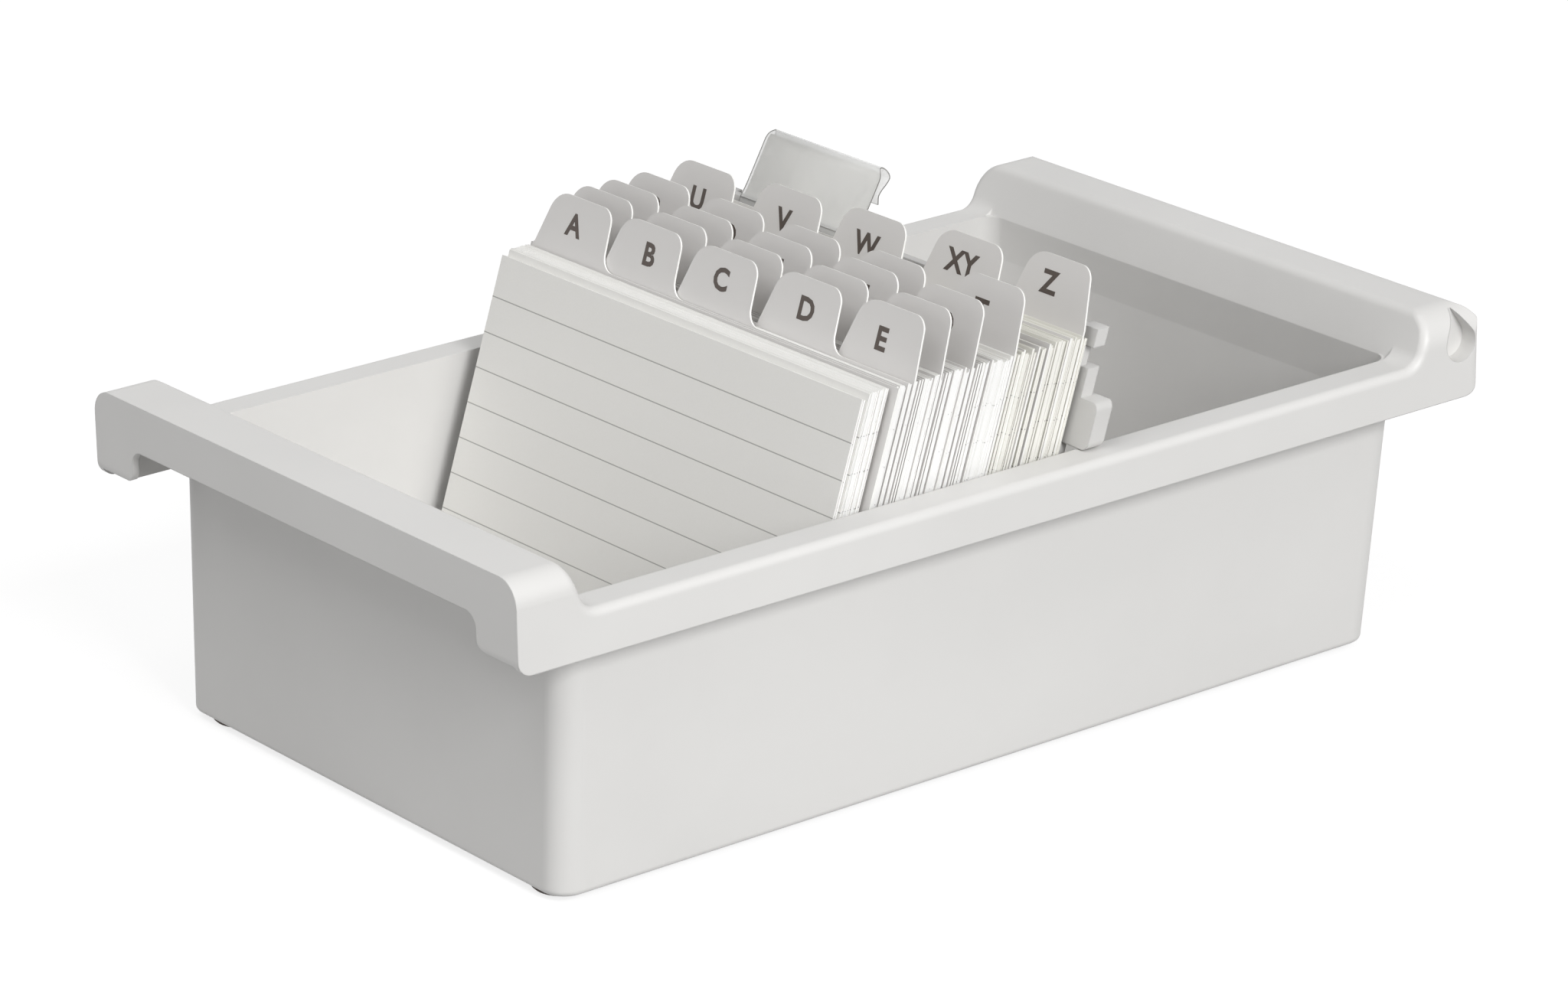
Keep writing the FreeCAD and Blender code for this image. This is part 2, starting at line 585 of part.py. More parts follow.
def hollow_rim(body):
    """Space inside the skirt and the bars, open from below."""
    under_view = make_sketch(body, "skirt_hollow_view", "XY_Plane", "skirt_low")
    draw_rounded_rectangle(under_view, "-skirt_half_inner", "skirt_half_inner",
                           "skirt_front_inner", "skirt_back_inner", "skirt_corner")
    cut_pocket(body, "skirt_hollow", under_view, "rim_hollow", backwards=True)
    front_view = make_sketch(body, "front_bar_hollow_view", "YZ_Plane")
    draw_polygon(front_view, [
        ("skirt_front_inner", "rim_under"), ("tub_front", "rim_under"),
        ("front_core_back", "front_under"), ("skirt_front_inner", "front_under"),
    ])
    cut_pocket(body, "front_bar_hollow", front_view, "front_core_width", both_ways=True)
    rear_view = make_sketch(body, "rear_bar_hollow_view", "YZ_Plane")
    draw_polygon(rear_view, [
        ("tub_back", "rim_under"), ("skirt_back_inner", "rim_under"),
        ("skirt_back_inner", "rear_core_low"), ("rear_core_back", "rear_under"),
        ("rear_core_front", "rear_under"),
    ])
    cut_pocket(body, "rear_bar_hollow", rear_view, "rear_core_width", both_ways=True)
    web_view = make_sketch(body, "web_view", "YZ_Plane", "web_half")
    draw_polygon(web_view, [
        ("web_front", "front_skirt_low"), ("cavity_front", "front_skirt_low"),
        ("cavity_front", "rim_under"), ("front_core_back", "web_top"),
        ("web_front", "web_top"),
    ])
    web = add_pad(body, "web", web_view, "web_wall")
    mirror_across(body, "web_left", web)
    boss_view = make_sketch(body, "socket_boss_view", "YZ_Plane", "boss_root")
    draw_polygon(boss_view, [
        ("boss_front", "boss_low"), ("boss_back", "boss_low"),
        ("boss_back", "rim_top"), ("boss_front", "rim_top"),
    ])
    boss = add_pad(body, "socket_boss", boss_view, "boss_length")
    mirror_across(body, "socket_boss_left", boss)


def make_tub(body):
    """Tub below the rim, with drafted walls and a sloping rear wall."""
    floor_view = make_sketch(body, "tub_floor_view", "XY_Plane", "tub_low")
    draw_rounded_rectangle(floor_view, "-tub_half_low", "tub_half_low",
                           "tub_front_low", "tub_back_low", "tub_corner")
    knee_view = make_sketch(body, "tub_knee_view", "XY_Plane", "skirt_low")
    draw_rounded_rectangle(knee_view, "-tub_half", "tub_half",
                           "tub_front", "tub_back", "tub_corner")
    join_sections(body, "tub_lower", "AdditiveLoft", floor_view, knee_view)
    add_pad(body, "tub_upper", knee_view, "skirt_depth")
    round_edges(body, "tub_foot", "floor_round", {"up": "tub_low"})


def hollow_tub(body):
    """Inside of the tub and the open space between the two bars."""
    floor_view = make_sketch(body, "cavity_floor_view", "XY_Plane", "inner_floor")
    draw_rounded_rectangle(floor_view, "-cavity_half_low", "cavity_half_low",
                           "cavity_front_low", "cavity_back_low", "cavity_corner")
    knee_view = make_sketch(body, "cavity_knee_view", "XY_Plane", "skirt_low")
    draw_rounded_rectangle(knee_view, "-cavity_half", "cavity_half",
                           "cavity_front", "cavity_back", "cavity_corner")
    join_sections(body, "cavity_lower", "SubtractiveLoft", floor_view, knee_view)
    cut_pocket(body, "cavity_upper", knee_view, "skirt_depth", backwards=True)
    mouth_view = make_sketch(body, "mouth_view", "YZ_Plane")
    draw_polygon(mouth_view, [
        ("cavity_front", "rim_top"), ("cavity_back", "rim_top"),
        ("rear_bar_front", "rear_top"), ("front_bar_back", "front_top"),
    ])
    cut_pocket(body, "mouth", mouth_view, "cavity_width", both_ways=True)


def make_tray():
    """Moulded tray: rim, bars, tub, finger cut-out, lid sockets and foot seats."""
    body = make_body("tray")
    make_rim(body)
    hollow_rim(body)
    make_tub(body)
    hollow_tub(body)
    grip_view = make_sketch(body, "grip_view", "XZ_Plane", "-front")
    draw_rounded_rectangle(grip_view, "-grip_half", "grip_half",
                           "grip_low", "grip_top", "grip_round")
    cut_pocket(body, "grip", grip_view, "grip_depth")
    lift_view = make_sketch(body, "skirt_lift_view", "XZ_Plane", "-front")
    draw_polygon(lift_view, [
        ("-skirt_half_inner", "front_skirt_under"), ("skirt_half_inner", "front_skirt_under"),
        ("skirt_half_inner", "front_skirt_low"), ("-skirt_half_inner", "front_skirt_low"),
    ])
    cut_pocket(body, "skirt_lift", lift_view, "grip_depth")
    round_edges(body, "grip_tabs", "tab_round", {"across": "grip_half", "up": "front_skirt_low"})
    socket_view = make_sketch(body, "socket_view", "YZ_Plane", "half_width")
    draw_teardrop(socket_view, "socket_y", "socket_z", "socket_radius", "socket_point")
    socket = cut_pocket(body, "socket", socket_view, "socket_depth")
    mirror_across(body, "socket_left", socket)
    seat_view = make_sketch(body, "seat_view", "XY_Plane", "tub_low")
    draw_circles(seat_view, "seat_radius", [
        ("foot_x", "foot_front_y"), ("-foot_x", "foot_front_y"),
        ("foot_x", "foot_rear_y"), ("-foot_x", "foot_rear_y"),
    ])
    cut_pocket(body, "foot_seats", seat_view, "foot_seat", backwards=True)
    return body


def make_foot(name, across, along):
    """One soft foot, glued in its seat under the tub."""
    body = make_body(name)
    tread_view = make_sketch(body, f"{name}_view", "XY_Plane")
    draw_circles(tread_view, "foot_radius", [("zero", "zero")])
    add_pad(body, f"{name}_pad", tread_view, "foot_length")
    bevel_edges(body, f"{name}_bevel", "foot_bevel", {"up": "zero"})
    body.setExpression("Placement.Base.x", bound(across))
    body.setExpression("Placement.Base.y", bound(along))
    return body


def stand_leaning(body, station):
    """Stand a flat sheet on the floor of the tray and lean it back."""
    body.Placement = FreeCAD.Placement(
        FreeCAD.Vector(0, size(station), size("card_low")),
        FreeCAD.Rotation(FreeCAD.Vector(1, 0, 0), -size("lean")))
    body.setExpression("Placement.Base.y", bound(station))
    body.setExpression("Placement.Base.z", bound("card_low"))
    body.setExpression("Placement.Rotation.Angle", "sizes.lean * -1 deg")


def make_card(name, station):
    """One ruled card that leans back in the tray."""
    body = make_body(name)
    outline = make_sketch(body, f"{name}_view", "XZ_Plane")
    draw_polygon(outline, [
        ("-card_half", "zero"), ("card_half", "zero"),
        ("card_half", "card_height"), ("-card_half", "card_height"),
    ])
    add_pad(body, f"{name}_sheet", outline, "card_thickness", backwards=True)
    stand_leaning(body, station)
    return body


def make_pack(name, key, station):
    """Cards filed together, each one standing on the floor behind the next."""
    body = make_body(name)
    side_view = make_sketch(body, f"{name}_view", "YZ_Plane")
    draw_polygon(side_view, [
        ("zero", "zero"), (f"pack_{key}", "zero"),
        (f"pack_back_{key}", "card_rise"), ("card_shift", "card_rise"),
    ])
    add_pad(body, f"{name}_block", side_view, "card_width", both_ways=True)
    body.setExpression("Placement.Base.y", station)
    body.setExpression("Placement.Base.z", bound("card_low"))
    return body


def make_guide(letter, column):
    """Guide card with its tab in one of five places across the top."""
    name = f"guide_{letter}"
    body = make_body(name)
    outline = make_sketch(body, f"{name}_view", "XZ_Plane")
    draw_polygon(outline, [
        ("-card_half", "zero"), ("card_half", "zero"),
        ("card_half", "card_height"), (f"tab_right_{column}", "card_height"),
        (f"tab_right_top_{column}", "tab_top"), (f"tab_left_top_{column}", "tab_top"),
        (f"tab_left_{column}", "card_height"), ("-card_half", "card_height"),
    ])
    add_pad(body, f"{name}_sheet", outline, "guide_thickness", backwards=True)
    round_edges(body, f"{name}_left_corner", "tab_left_corner",
                {"across": f"tab_left_top_{column}", "up": "tab_top"})
    round_edges(body, f"{name}_right_corner", "tab_right_corner",
                {"across": f"tab_right_top_{column}", "up": "tab_top"})
    if column < TABS_PER_ROW - 1:
        round_edges(body, f"{name}_sweep", "tab_sweep",
                    {"across": f"tab_right_{column}", "up": "card_height"})
    stand_leaning(body, f"station_{letter}")
    return body


def make_wing(body):
    """Wing at each side of the support plate, which rides on the tray's rim."""
    side_view = make_sketch(body, "wing_view", "YZ_Plane", "wing_root")
    draw_polygon(side_view, [
        ("wing_low_front", "wing_low"), ("wing_low_back", "wing_low"),
        ("wing_high_back", "wing_high"), ("wing_high_front", "wing_high"),
    ])
    wing = add_pad(body, "wing", side_view, "wing_length")
    mirror_across(body, "wing_left", wing)


def make_lug(body, name):
    """Small lug on the edge of the support plate, at each side."""
    side_view = make_sketch(body, f"{name}_view", "YZ_Plane", "lug_root")
    draw_polygon(side_view, [
        (f"{name}_low_front", f"{name}_low"), (f"{name}_low_back", f"{name}_low"),
        (f"{name}_high_back", f"{name}_high"), (f"{name}_high_front", f"{name}_high"),
    ])
    lug = add_pad(body, name, side_view, "lug_length")
    mirror_across(body, f"{name}_left", lug)


def make_support_plate():
    """Plate that props the cards and slides along the rims on its wings."""
    body = make_body("support_plate")
    side_view = make_sketch(body, "plate_view", "YZ_Plane")
    draw_polygon(side_view, [
        ("zero", "zero"), ("plate_level", "zero"),
        ("plate_back", "plate_up"), ("plate_shift", "plate_up"),
    ])
    add_pad(body, "plate", side_view, "card_width", both_ways=True)
    make_lug(body, "top_lug")
    make_lug(body, "mid_lug")
    make_wing(body)
    round_edges(body, "wing_corners", "wing_round",
                {"across": "wing_reach", "up": "wing_high"},
                {"across": "wing_reach", "up": "wing_low"})
    body.setExpression("Placement.Base.y", bound("plate_station"))
    body.setExpression("Placement.Base.z", bound("plate_low"))
    return body


def make_label_tab():
    """Clear label tab: one folded strip that clips over the support plate."""
    body = make_body("label_tab")
    side_view = make_sketch(body, "label_view", "YZ_Plane")
    draw_polygon(side_view, [
        ("front_leaf_low", "grip_z"), ("front_leaf_low_in", "grip_z"),
        ("front_leaf_bend_in", "plate_up"), ("front_leaf_top_in", "fold_in"),
        ("rear_leaf_top_in", "fold_in"), ("rear_leaf_pinch_in", "pinch_z"),
        ("rear_leaf_bend_in", "plate_up"), ("rear_leaf_low_in", "rear_grip_z"),
        ("rear_leaf_low", "rear_grip_z"), ("rear_leaf_bend", "plate_up"),
        ("rear_leaf_pinch", "pinch_z"), ("rear_leaf_top", "label_top"),
        ("front_leaf_top", "label_top"), ("front_leaf_bend", "plate_up"),
    ])
    add_pad(body, "label_strip", side_view, "label_width", both_ways=True)
    place_on_plate(body)
    return body


def make_label_paper():
    """Paper strip held between the two leaves of the label tab."""
    body = make_body("label_paper")
    side_view = make_sketch(body, "paper_view", "YZ_Plane")
    draw_polygon(side_view, [
        ("paper_low_front", "paper_low"), ("paper_low_back", "paper_low"),
        ("paper_high_back", "paper_high"), ("paper_high_front", "paper_high"),
    ])
    add_pad(body, "paper_strip", side_view, "paper_width", both_ways=True)
    place_on_plate(body)
    return body


def place_on_plate(body):
    """Move a piece of the label to its place on top of the support plate."""
    body.setExpression("Placement.Base.x", bound("label_left"))
    body.setExpression("Placement.Base.y", bound("plate_station"))
    body.setExpression("Placement.Base.z", bound("plate_low"))


def make_cards():
    """Ruled cards at the front, then each guide with the cards filed behind it."""
    cards = [
        make_card("front_card", "card_station"),
        make_pack("front_pack", "front_pack", bound("pack_station")),
    ]
    for index, (letter, count) in enumerate(zip(LETTERS, CARDS_BEHIND)):
        cards.append(make_guide(letter, index % TABS_PER_ROW))
        if count:
            station = f"sizes.station_{letter} + sizes.behind_guide"
            cards.append(make_pack(f"pack_{letter}", letter, station))
    return cards


def check_document():
    """Stop if anything in the document failed to build."""
    doc.recompute()
    for item in doc.Objects:
        if "Invalid" in item.State or "Error" in item.State:
            raise RuntimeError(f"{item.Label} failed: {item.State}")


def write_parts(bodies):
    """Write each sub-part to its own STEP file."""
    os.makedirs("parts", exist_ok=True)
    for body in bodies:
        if body.Shape.isNull() or not body.Shape.isValid():
            raise RuntimeError(f"{body.Label} has no valid shape")
        body.Shape.exportStep(f"parts/{body.Label}.step")
        print(f"{body.Label}: {body.Shape.Volume / 1000:.2f} cm3")


doc = FreeCAD.newDocument("index_card_drawer")
sheet = make_sheet()
parts = [make_tray()]
parts.append(make_foot("foot_front_left", "-foot_x", "foot_front_y"))
parts.append(make_foot("foot_front_right", "foot_x", "foot_front_y"))
parts.append(make_foot("foot_rear_left", "-foot_x", "foot_rear_y"))
parts.append(make_foot("foot_rear_right", "foot_x", "foot_rear_y"))
parts.extend(make_cards())
parts.append(make_support_plate())
parts.append(make_label_tab())
parts.append(make_label_paper())
check_document()
write_parts(parts)
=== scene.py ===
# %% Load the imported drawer
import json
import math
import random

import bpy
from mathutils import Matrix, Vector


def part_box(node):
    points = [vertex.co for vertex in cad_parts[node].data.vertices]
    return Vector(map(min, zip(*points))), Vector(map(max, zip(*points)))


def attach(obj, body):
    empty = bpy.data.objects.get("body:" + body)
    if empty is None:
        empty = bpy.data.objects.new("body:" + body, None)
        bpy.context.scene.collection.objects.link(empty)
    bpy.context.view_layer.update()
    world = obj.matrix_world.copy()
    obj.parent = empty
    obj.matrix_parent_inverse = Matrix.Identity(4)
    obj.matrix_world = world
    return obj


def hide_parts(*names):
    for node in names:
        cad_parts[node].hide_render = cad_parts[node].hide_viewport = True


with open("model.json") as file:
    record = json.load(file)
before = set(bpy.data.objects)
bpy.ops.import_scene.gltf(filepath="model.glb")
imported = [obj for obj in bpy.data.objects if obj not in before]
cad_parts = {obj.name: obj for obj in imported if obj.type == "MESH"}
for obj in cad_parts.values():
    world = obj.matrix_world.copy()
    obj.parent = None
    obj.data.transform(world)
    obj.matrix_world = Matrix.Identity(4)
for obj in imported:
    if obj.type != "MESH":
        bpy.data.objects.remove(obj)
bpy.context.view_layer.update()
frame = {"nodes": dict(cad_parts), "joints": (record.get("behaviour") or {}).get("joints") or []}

# %% [markdown]
# # A drawer of index cards
# This lesson dresses a card drawer that is already right in its measurements.
# The tray, its feet and the support plate come from the CAD model and keep their
# shape. What is left to make is what makes them look real: the finish of each
# material, the loose cards one by one, the ruling on them, the die-cut guides
# with their letters and the clear label tab. Everything is in metres, in the
# frame of the CAD model, so a piece goes where the record says it is.

MM = 0.001

# %% [markdown]
# ## Reading the file's layout
# The cards all lean back at one angle. The record tells it twice: the front card
# slides along its own height, so its joint's axis is the direction "up the
# sheet", and each section tips about its own foot, so each hinge stands at the
# foot of a guide. Reading both keeps this script in step with the CAD model.

# %% Directions along a leaning sheet
joints = {joint["name"]: joint for joint in frame["joints"]}
UP_SHEET = Vector(joints["front_card_lift"]["axis"])
ACROSS = Vector((1, 0, 0))
OUT_OF_SHEET = ACROSS.cross(UP_SHEET)
LEAN = math.atan2(UP_SHEET.y, UP_SHEET.z)
feet_of_sections = {
    name.removeprefix("section_").removesuffix("_tilt"): Vector(joint["pos_m"])
    for name, joint in joints.items() if name.startswith("section_")
}
print("lean in degrees:", round(math.degrees(LEAN), 2),
      "sections:", len(feet_of_sections))


def on_sheet(foot, across, up, out=0.0):
    """Find a point of a leaning sheet from its foot's middle, in metres."""
    return foot + ACROSS * across + UP_SHEET * up + OUT_OF_SHEET * out


# %% [markdown]
# ## Colour
# Colours are easiest to choose as the hex values that a colour picker shows.
# Those are sRGB, while the shaders work in linear light, so one function turns
# the one into the other.

# %% From a hex colour to linear light
def linear(hex_colour):
    """Turn an sRGB hex colour into linear red, green, blue and alpha."""
    channels = []
    for start in (0, 2, 4):
        value = int(hex_colour[start:start + 2], 16) / 255
        channels.append(value / 12.92 if value <= 0.04045
                        else ((value + 0.055) / 1.055) ** 2.4)
    return (*channels, 1.0)


print("mid grey in linear light:", [round(value, 3) for value in linear("808080")])


# %% [markdown]
# ## One helper for every node
# A material is a small network. This helper adds one node of any kind with its
# settings. A number or a colour is written on the input socket that it is given
# for, and an output socket is linked to it. Most sockets go by name. Where a node
# has several of one name, as Math and Mix have, the socket goes by its number: a
# colour Mix takes its two colours at 6 and 7 and gives the result at output 2.

# %% Add a node, start a material and end it
def add_node(tree, kind, inputs=None, **settings):
    """Add a node with its settings; inputs holds values or sockets to link."""
    node = tree.nodes.new(kind)
    for name, value in settings.items():
        setattr(node, name, value)
    for name, value in (inputs or {}).items():
        if isinstance(value, bpy.types.NodeSocket):
            tree.links.new(value, node.inputs[name])
        else:
            node.inputs[name].default_value = value
    return node


def start_material(name):
    """Make an empty material and return it with its tree."""
    material = bpy.data.materials.new(name)
    material.use_nodes = True
    material.node_tree.nodes.clear()
    return material, material.node_tree


def end_material(material, shader):
    """Link the last shader to the material's surface."""
    tree = material.node_tree
    add_node(tree, "ShaderNodeOutputMaterial", {"Surface": shader.outputs[0]})
    print("material:", material.name, "nodes:", len(tree.nodes))
    return material


# %% [markdown]
# ## Moulded polystyrene
# The tray is injection-moulded high-impact polystyrene. The steel mould was
# spark-eroded, which leaves a fine even grain, so the plastic looks matt with a
# soft sheen along its rounded edges. Real spark grain is about 0.05 mm, too fine
# to show, so it is drawn at a third of a millimetre as bump. A slow drift of a
# percent or so in the grey keeps large faces from looking computed. A mould's
# corners are never quite sharp: a Bevel node turns the light over a few tenths
# of a millimetre along the edges that the CAD model leaves square. IOR 1.59 is
# that of polystyrene.

# %% Material of the tray and the support plate
GRAIN = 0.35 * MM
GRAIN_DEPTH = 0.02 * MM
GRAIN_GLOSS = 0.04
DRIFT = 60 * MM
DRIFT_DARK, DRIFT_LIGHT = 0.35, 0.65
SOFT_EDGE = 0.5 * MM


def moulded_polystyrene(name, light, dark, roughness):
    """Matt moulded plastic with spark-eroded grain."""
    material, tree = start_material(name)
    place = add_node(tree, "ShaderNodeTexCoord").outputs["Object"]
    drift = add_node(tree, "ShaderNodeTexNoise",
                     {"Vector": place, "Scale": 1 / DRIFT, "Detail": 3.0})
    colour = add_node(tree, "ShaderNodeValToRGB", {"Fac": drift.outputs["Fac"]})
    dark_end, light_end = colour.color_ramp.elements
    dark_end.position, dark_end.color = DRIFT_DARK, linear(dark)
    light_end.position, light_end.color = DRIFT_LIGHT, linear(light)
    grain = add_node(tree, "ShaderNodeTexNoise",
                     {"Vector": place, "Scale": 1 / GRAIN, "Detail": 2.0})
    edge = add_node(tree, "ShaderNodeBevel", {"Radius": SOFT_EDGE}, samples=4)
    bump = add_node(tree, "ShaderNodeBump",
                    {"Height": grain.outputs["Fac"], "Strength": 0.25,
                     "Distance": GRAIN_DEPTH, "Normal": edge.outputs["Normal"]})
    gloss = add_node(tree, "ShaderNodeMapRange",
                     {"Value": grain.outputs["Fac"],
                      "To Min": roughness - GRAIN_GLOSS,
                      "To Max": roughness + GRAIN_GLOSS})
    shader = add_node(tree, "ShaderNodeBsdfPrincipled",
                      {"Base Color": colour.outputs["Color"],
                       "Roughness": gloss.outputs["Result"],
                       "Normal": bump.outputs["Normal"], "IOR": 1.59})
    return end_material(material, shader)


tray_plastic = moulded_polystyrene("moulded_polystyrene", "E1E0DE", "DDDCDA", 0.46)
plate_plastic = moulded_polystyrene("moulded_polystyrene_fine", "D3D2D0", "CFCECC",
                                    0.40)


# %% [markdown]
# ## Rubber feet
# The feet are glued discs of dark brown rubber. Moulded rubber is dull, with a
# faint bloom on it, so it gets a high roughness and a cloudy mix of two browns.
# Ink, film and paper are clouded in the same way, each at its own size, so a
# function makes the noise and the colour that it drives.

# %% Material of the feet
def cloudy(tree, size, detail, one, other):
    """Mix two colours by a noise of one size; return the noise and the colour."""
    place = add_node(tree, "ShaderNodeTexCoord").outputs["Object"]
    cloud = add_node(tree, "ShaderNodeTexNoise",
                     {"Vector": place, "Scale": 1 / size, "Detail": detail})
    colour = add_node(tree, "ShaderNodeMix",
                      {"Factor": cloud.outputs["Fac"], 6: linear(one),
                       7: linear(other)},
                      data_type="RGBA")
    return cloud.outputs["Fac"], colour.outputs[2]


BLOOM = 2.5 * MM
rubber, tree = start_material("moulded_rubber")
bloom, colour = cloudy(tree, BLOOM, 4.0, "463C37", "5C524C")
pores = add_node(tree, "ShaderNodeBump",
                 {"Height": bloom, "Strength": 0.3, "Distance": 0.05 * MM})
shader = add_node(tree, "ShaderNodeBsdfPrincipled",
                  {"Base Color": colour, "Roughness": 0.72, "IOR": 1.52,
                   "Normal": pores.outputs["Normal"]})
end_material(rubber, shader)

# %% [markdown]
# ## Index card
# The cards are stiff stock of about 190 g/m2, printed with grey feint ruling and
# cut in a stack. The ruling runs off both sides, so a cut edge shows a small dot
# wherever a line ends, but only where the trimming knife left one, which is on
# about one card in fourteen. A cut edge is open fibre and looks a little whiter
# than the rolled face, and its colour is painted whiter still: a painted
# highlight on every cut edge, for the light on the sides of the stacks. The
# lines could be thin strips of mesh, but on two hundred cards a pattern in the
# material is lighter and stays sharp. It reads the UV map, which a later cell
# fills with millimetres: across the card, and down from its top edge. Fresh
# cards are white and older ones cream, so the stock is made in two tones. Face
# and edge are told apart by how squarely a point faces out of the sheet, with a
# limit that a tipped card's face still passes.

# %% Material of the ruled cards
RULE_FIRST = 11.0
RULE_PITCH = 9.48
RULE_WIDTH = 0.28
RULE_STRENGTH = 0.62
FIBRE = 0.5 * MM
CLEAN_SHARE = 0.93
FACE_LIMIT = 0.6


def squareness(tree, sheet):
    """Tell how squarely a point faces out of the sheet, from 0 to 1."""
    facing = add_node(tree, "ShaderNodeVectorMath",
                      {0: sheet.outputs["True Normal"], 1: tuple(OUT_OF_SHEET)},
                      operation="DOT_PRODUCT")
    return add_node(tree, "ShaderNodeMath", {0: facing.outputs["Value"]},
                    operation="ABSOLUTE").outputs[0]


def ruled_card_stock(name, light, dark, edge):
    """Card stock with grey feint ruling and whiter cut edges, partly painted highlight."""
    material, tree = start_material(name)
    chart = add_node(tree, "ShaderNodeUVMap", uv_map="millimetres").outputs["UV"]
    axes = add_node(tree, "ShaderNodeSeparateXYZ", {"Vector": chart})
    below = add_node(tree, "ShaderNodeMath", {0: axes.outputs["Y"], 1: RULE_FIRST},
                     operation="SUBTRACT").outputs[0]
    off_line = add_node(tree, "ShaderNodeMath", {0: below, 1: RULE_PITCH / 2},
                        operation="PINGPONG").outputs[0]
    on_line = add_node(tree, "ShaderNodeMath", {0: off_line, 1: RULE_WIDTH / 2},
                       operation="LESS_THAN").outputs[0]
    under_head = add_node(tree, "ShaderNodeMath", {0: below, 1: -RULE_PITCH / 2},
                          operation="GREATER_THAN").outputs[0]
    line = add_node(tree, "ShaderNodeMath", {0: on_line, 1: under_head},
                    operation="MULTIPLY").outputs[0]
    sheet = add_node(tree, "ShaderNodeNewGeometry")
    own_number = sheet.outputs["Random Per Island"]
    cut_edge = add_node(tree, "ShaderNodeMath",
                        {0: squareness(tree, sheet), 1: FACE_LIMIT},
                        operation="LESS_THAN").outputs[0]
    clean = add_node(tree, "ShaderNodeMath", {0: own_number, 1: CLEAN_SHARE},
                     operation="LESS_THAN").outputs[0]
    hidden = add_node(tree, "ShaderNodeMath", {0: cut_edge, 1: clean},
                      operation="MULTIPLY").outputs[0]
    shown = add_node(tree, "ShaderNodeMath", {0: 1.0, 1: hidden},
                     operation="SUBTRACT").outputs[0]
    strength = add_node(tree, "ShaderNodeMath", {0: line, 1: RULE_STRENGTH},
                        operation="MULTIPLY").outputs[0]
    ink_share = add_node(tree, "ShaderNodeMath", {0: strength, 1: shown},
                         operation="MULTIPLY").outputs[0]
    place = add_node(tree, "ShaderNodeTexCoord").outputs["Object"]
    fibre = add_node(tree, "ShaderNodeTexNoise",
                     {"Vector": place, "Scale": 1 / FIBRE, "Detail": 4.0})
    tone = add_node(tree, "ShaderNodeMix",
                    {"Factor": own_number, 6: linear(light), 7: linear(dark)},
                    data_type="RGBA")
    mottle = add_node(tree, "ShaderNodeMix",
                      {"Factor": fibre.outputs["Fac"], 6: tone.outputs[2],
                       7: linear("FAFAF8")},
                      data_type="RGBA", blend_type="MULTIPLY")
    # Cut edges take the edge colour: whiter for open fibre, and whiter still as a painted
    # highlight.
    stock = add_node(tree, "ShaderNodeMix",
                     {"Factor": cut_edge, 6: mottle.outputs[2], 7: linear(edge)},
                     data_type="RGBA")
    printed = add_node(tree, "ShaderNodeMix",
                       {"Factor": ink_share, 6: stock.outputs[2], 7: linear("6E6C69")},
                       data_type="RGBA")
    bump = add_node(tree, "ShaderNodeBump",
                    {"Height": fibre.outputs["Fac"], "Strength": 0.2,
                     "Distance": 0.01 * MM})
    shader = add_node(tree, "ShaderNodeBsdfPrincipled",
                      {"Base Color": printed.outputs[2], "Roughness": 0.85,
                       "IOR": 1.47, "Normal": bump.outputs["Normal"]})
    return end_material(material, shader)


# The last colour of each is the cut edge's, partly a painted highlight.
white_stock = ruled_card_stock("white_ruled_card_stock", "F7F6F4", "F1F0ED", "FCFCFB")
cream_stock = ruled_card_stock("cream_ruled_card_stock", "F0EFE9", "E8E7E0", "F5F4EE")

# %% [markdown]
# ## Guide sheet
# The guides are die-cut from matt polypropylene sheet in the grey of the tray.
# Rolled sheet has no grain to speak of, only a very fine haze. Its die-cut
# edges are painted near-white, a painted highlight for the light that catches
# the thin edges, while the faces keep the grey.

# %% Material of the guides
HAZE = 0.25 * MM
guide_sheet, tree = start_material("polypropylene_sheet")
place = add_node(tree, "ShaderNodeTexCoord").outputs["Object"]
haze = add_node(tree, "ShaderNodeTexNoise",
                {"Vector": place, "Scale": 1 / HAZE, "Detail": 2.0})
sheet = add_node(tree, "ShaderNodeNewGeometry")
is_face = add_node(tree, "ShaderNodeMath",
                   {0: squareness(tree, sheet), 1: FACE_LIMIT},
                   operation="GREATER_THAN").outputs[0]
# Near-white FAFAF7 on the edges is a painted highlight; DEDCDA is the faces' grey.
colour = add_node(tree, "ShaderNodeMix",
                  {"Factor": is_face, 6: linear("FAFAF7"), 7: linear("DEDCDA")},
                  data_type="RGBA")
bump = add_node(tree, "ShaderNodeBump",
                {"Height": haze.outputs["Fac"], "Strength": 0.15,
                 "Distance": 0.01 * MM})
shader = add_node(tree, "ShaderNodeBsdfPrincipled",
                  {"Base Color": colour.outputs[2], "Roughness": 0.55, "IOR": 1.49,
                   "Normal": bump.outputs["Normal"]})
end_material(guide_sheet, shader)

# %% [markdown]
# ## Ink of the letters
# The letters are screen-printed: a dark warm brown film of ink, a little glossier
# than the sheet under it. The mesh of the screen leaves it faintly speckled.

# %% Material of the letters
INK_GRAIN = 0.4 * MM
ink, tree = start_material("screen_print_ink")
_, colour = cloudy(tree, INK_GRAIN, 2.0, "4A403A", "564C46")
shader = add_node(tree, "ShaderNodeBsdfPrincipled",
                  {"Base Color": colour, "Roughness": 0.5})
end_material(ink, shader)
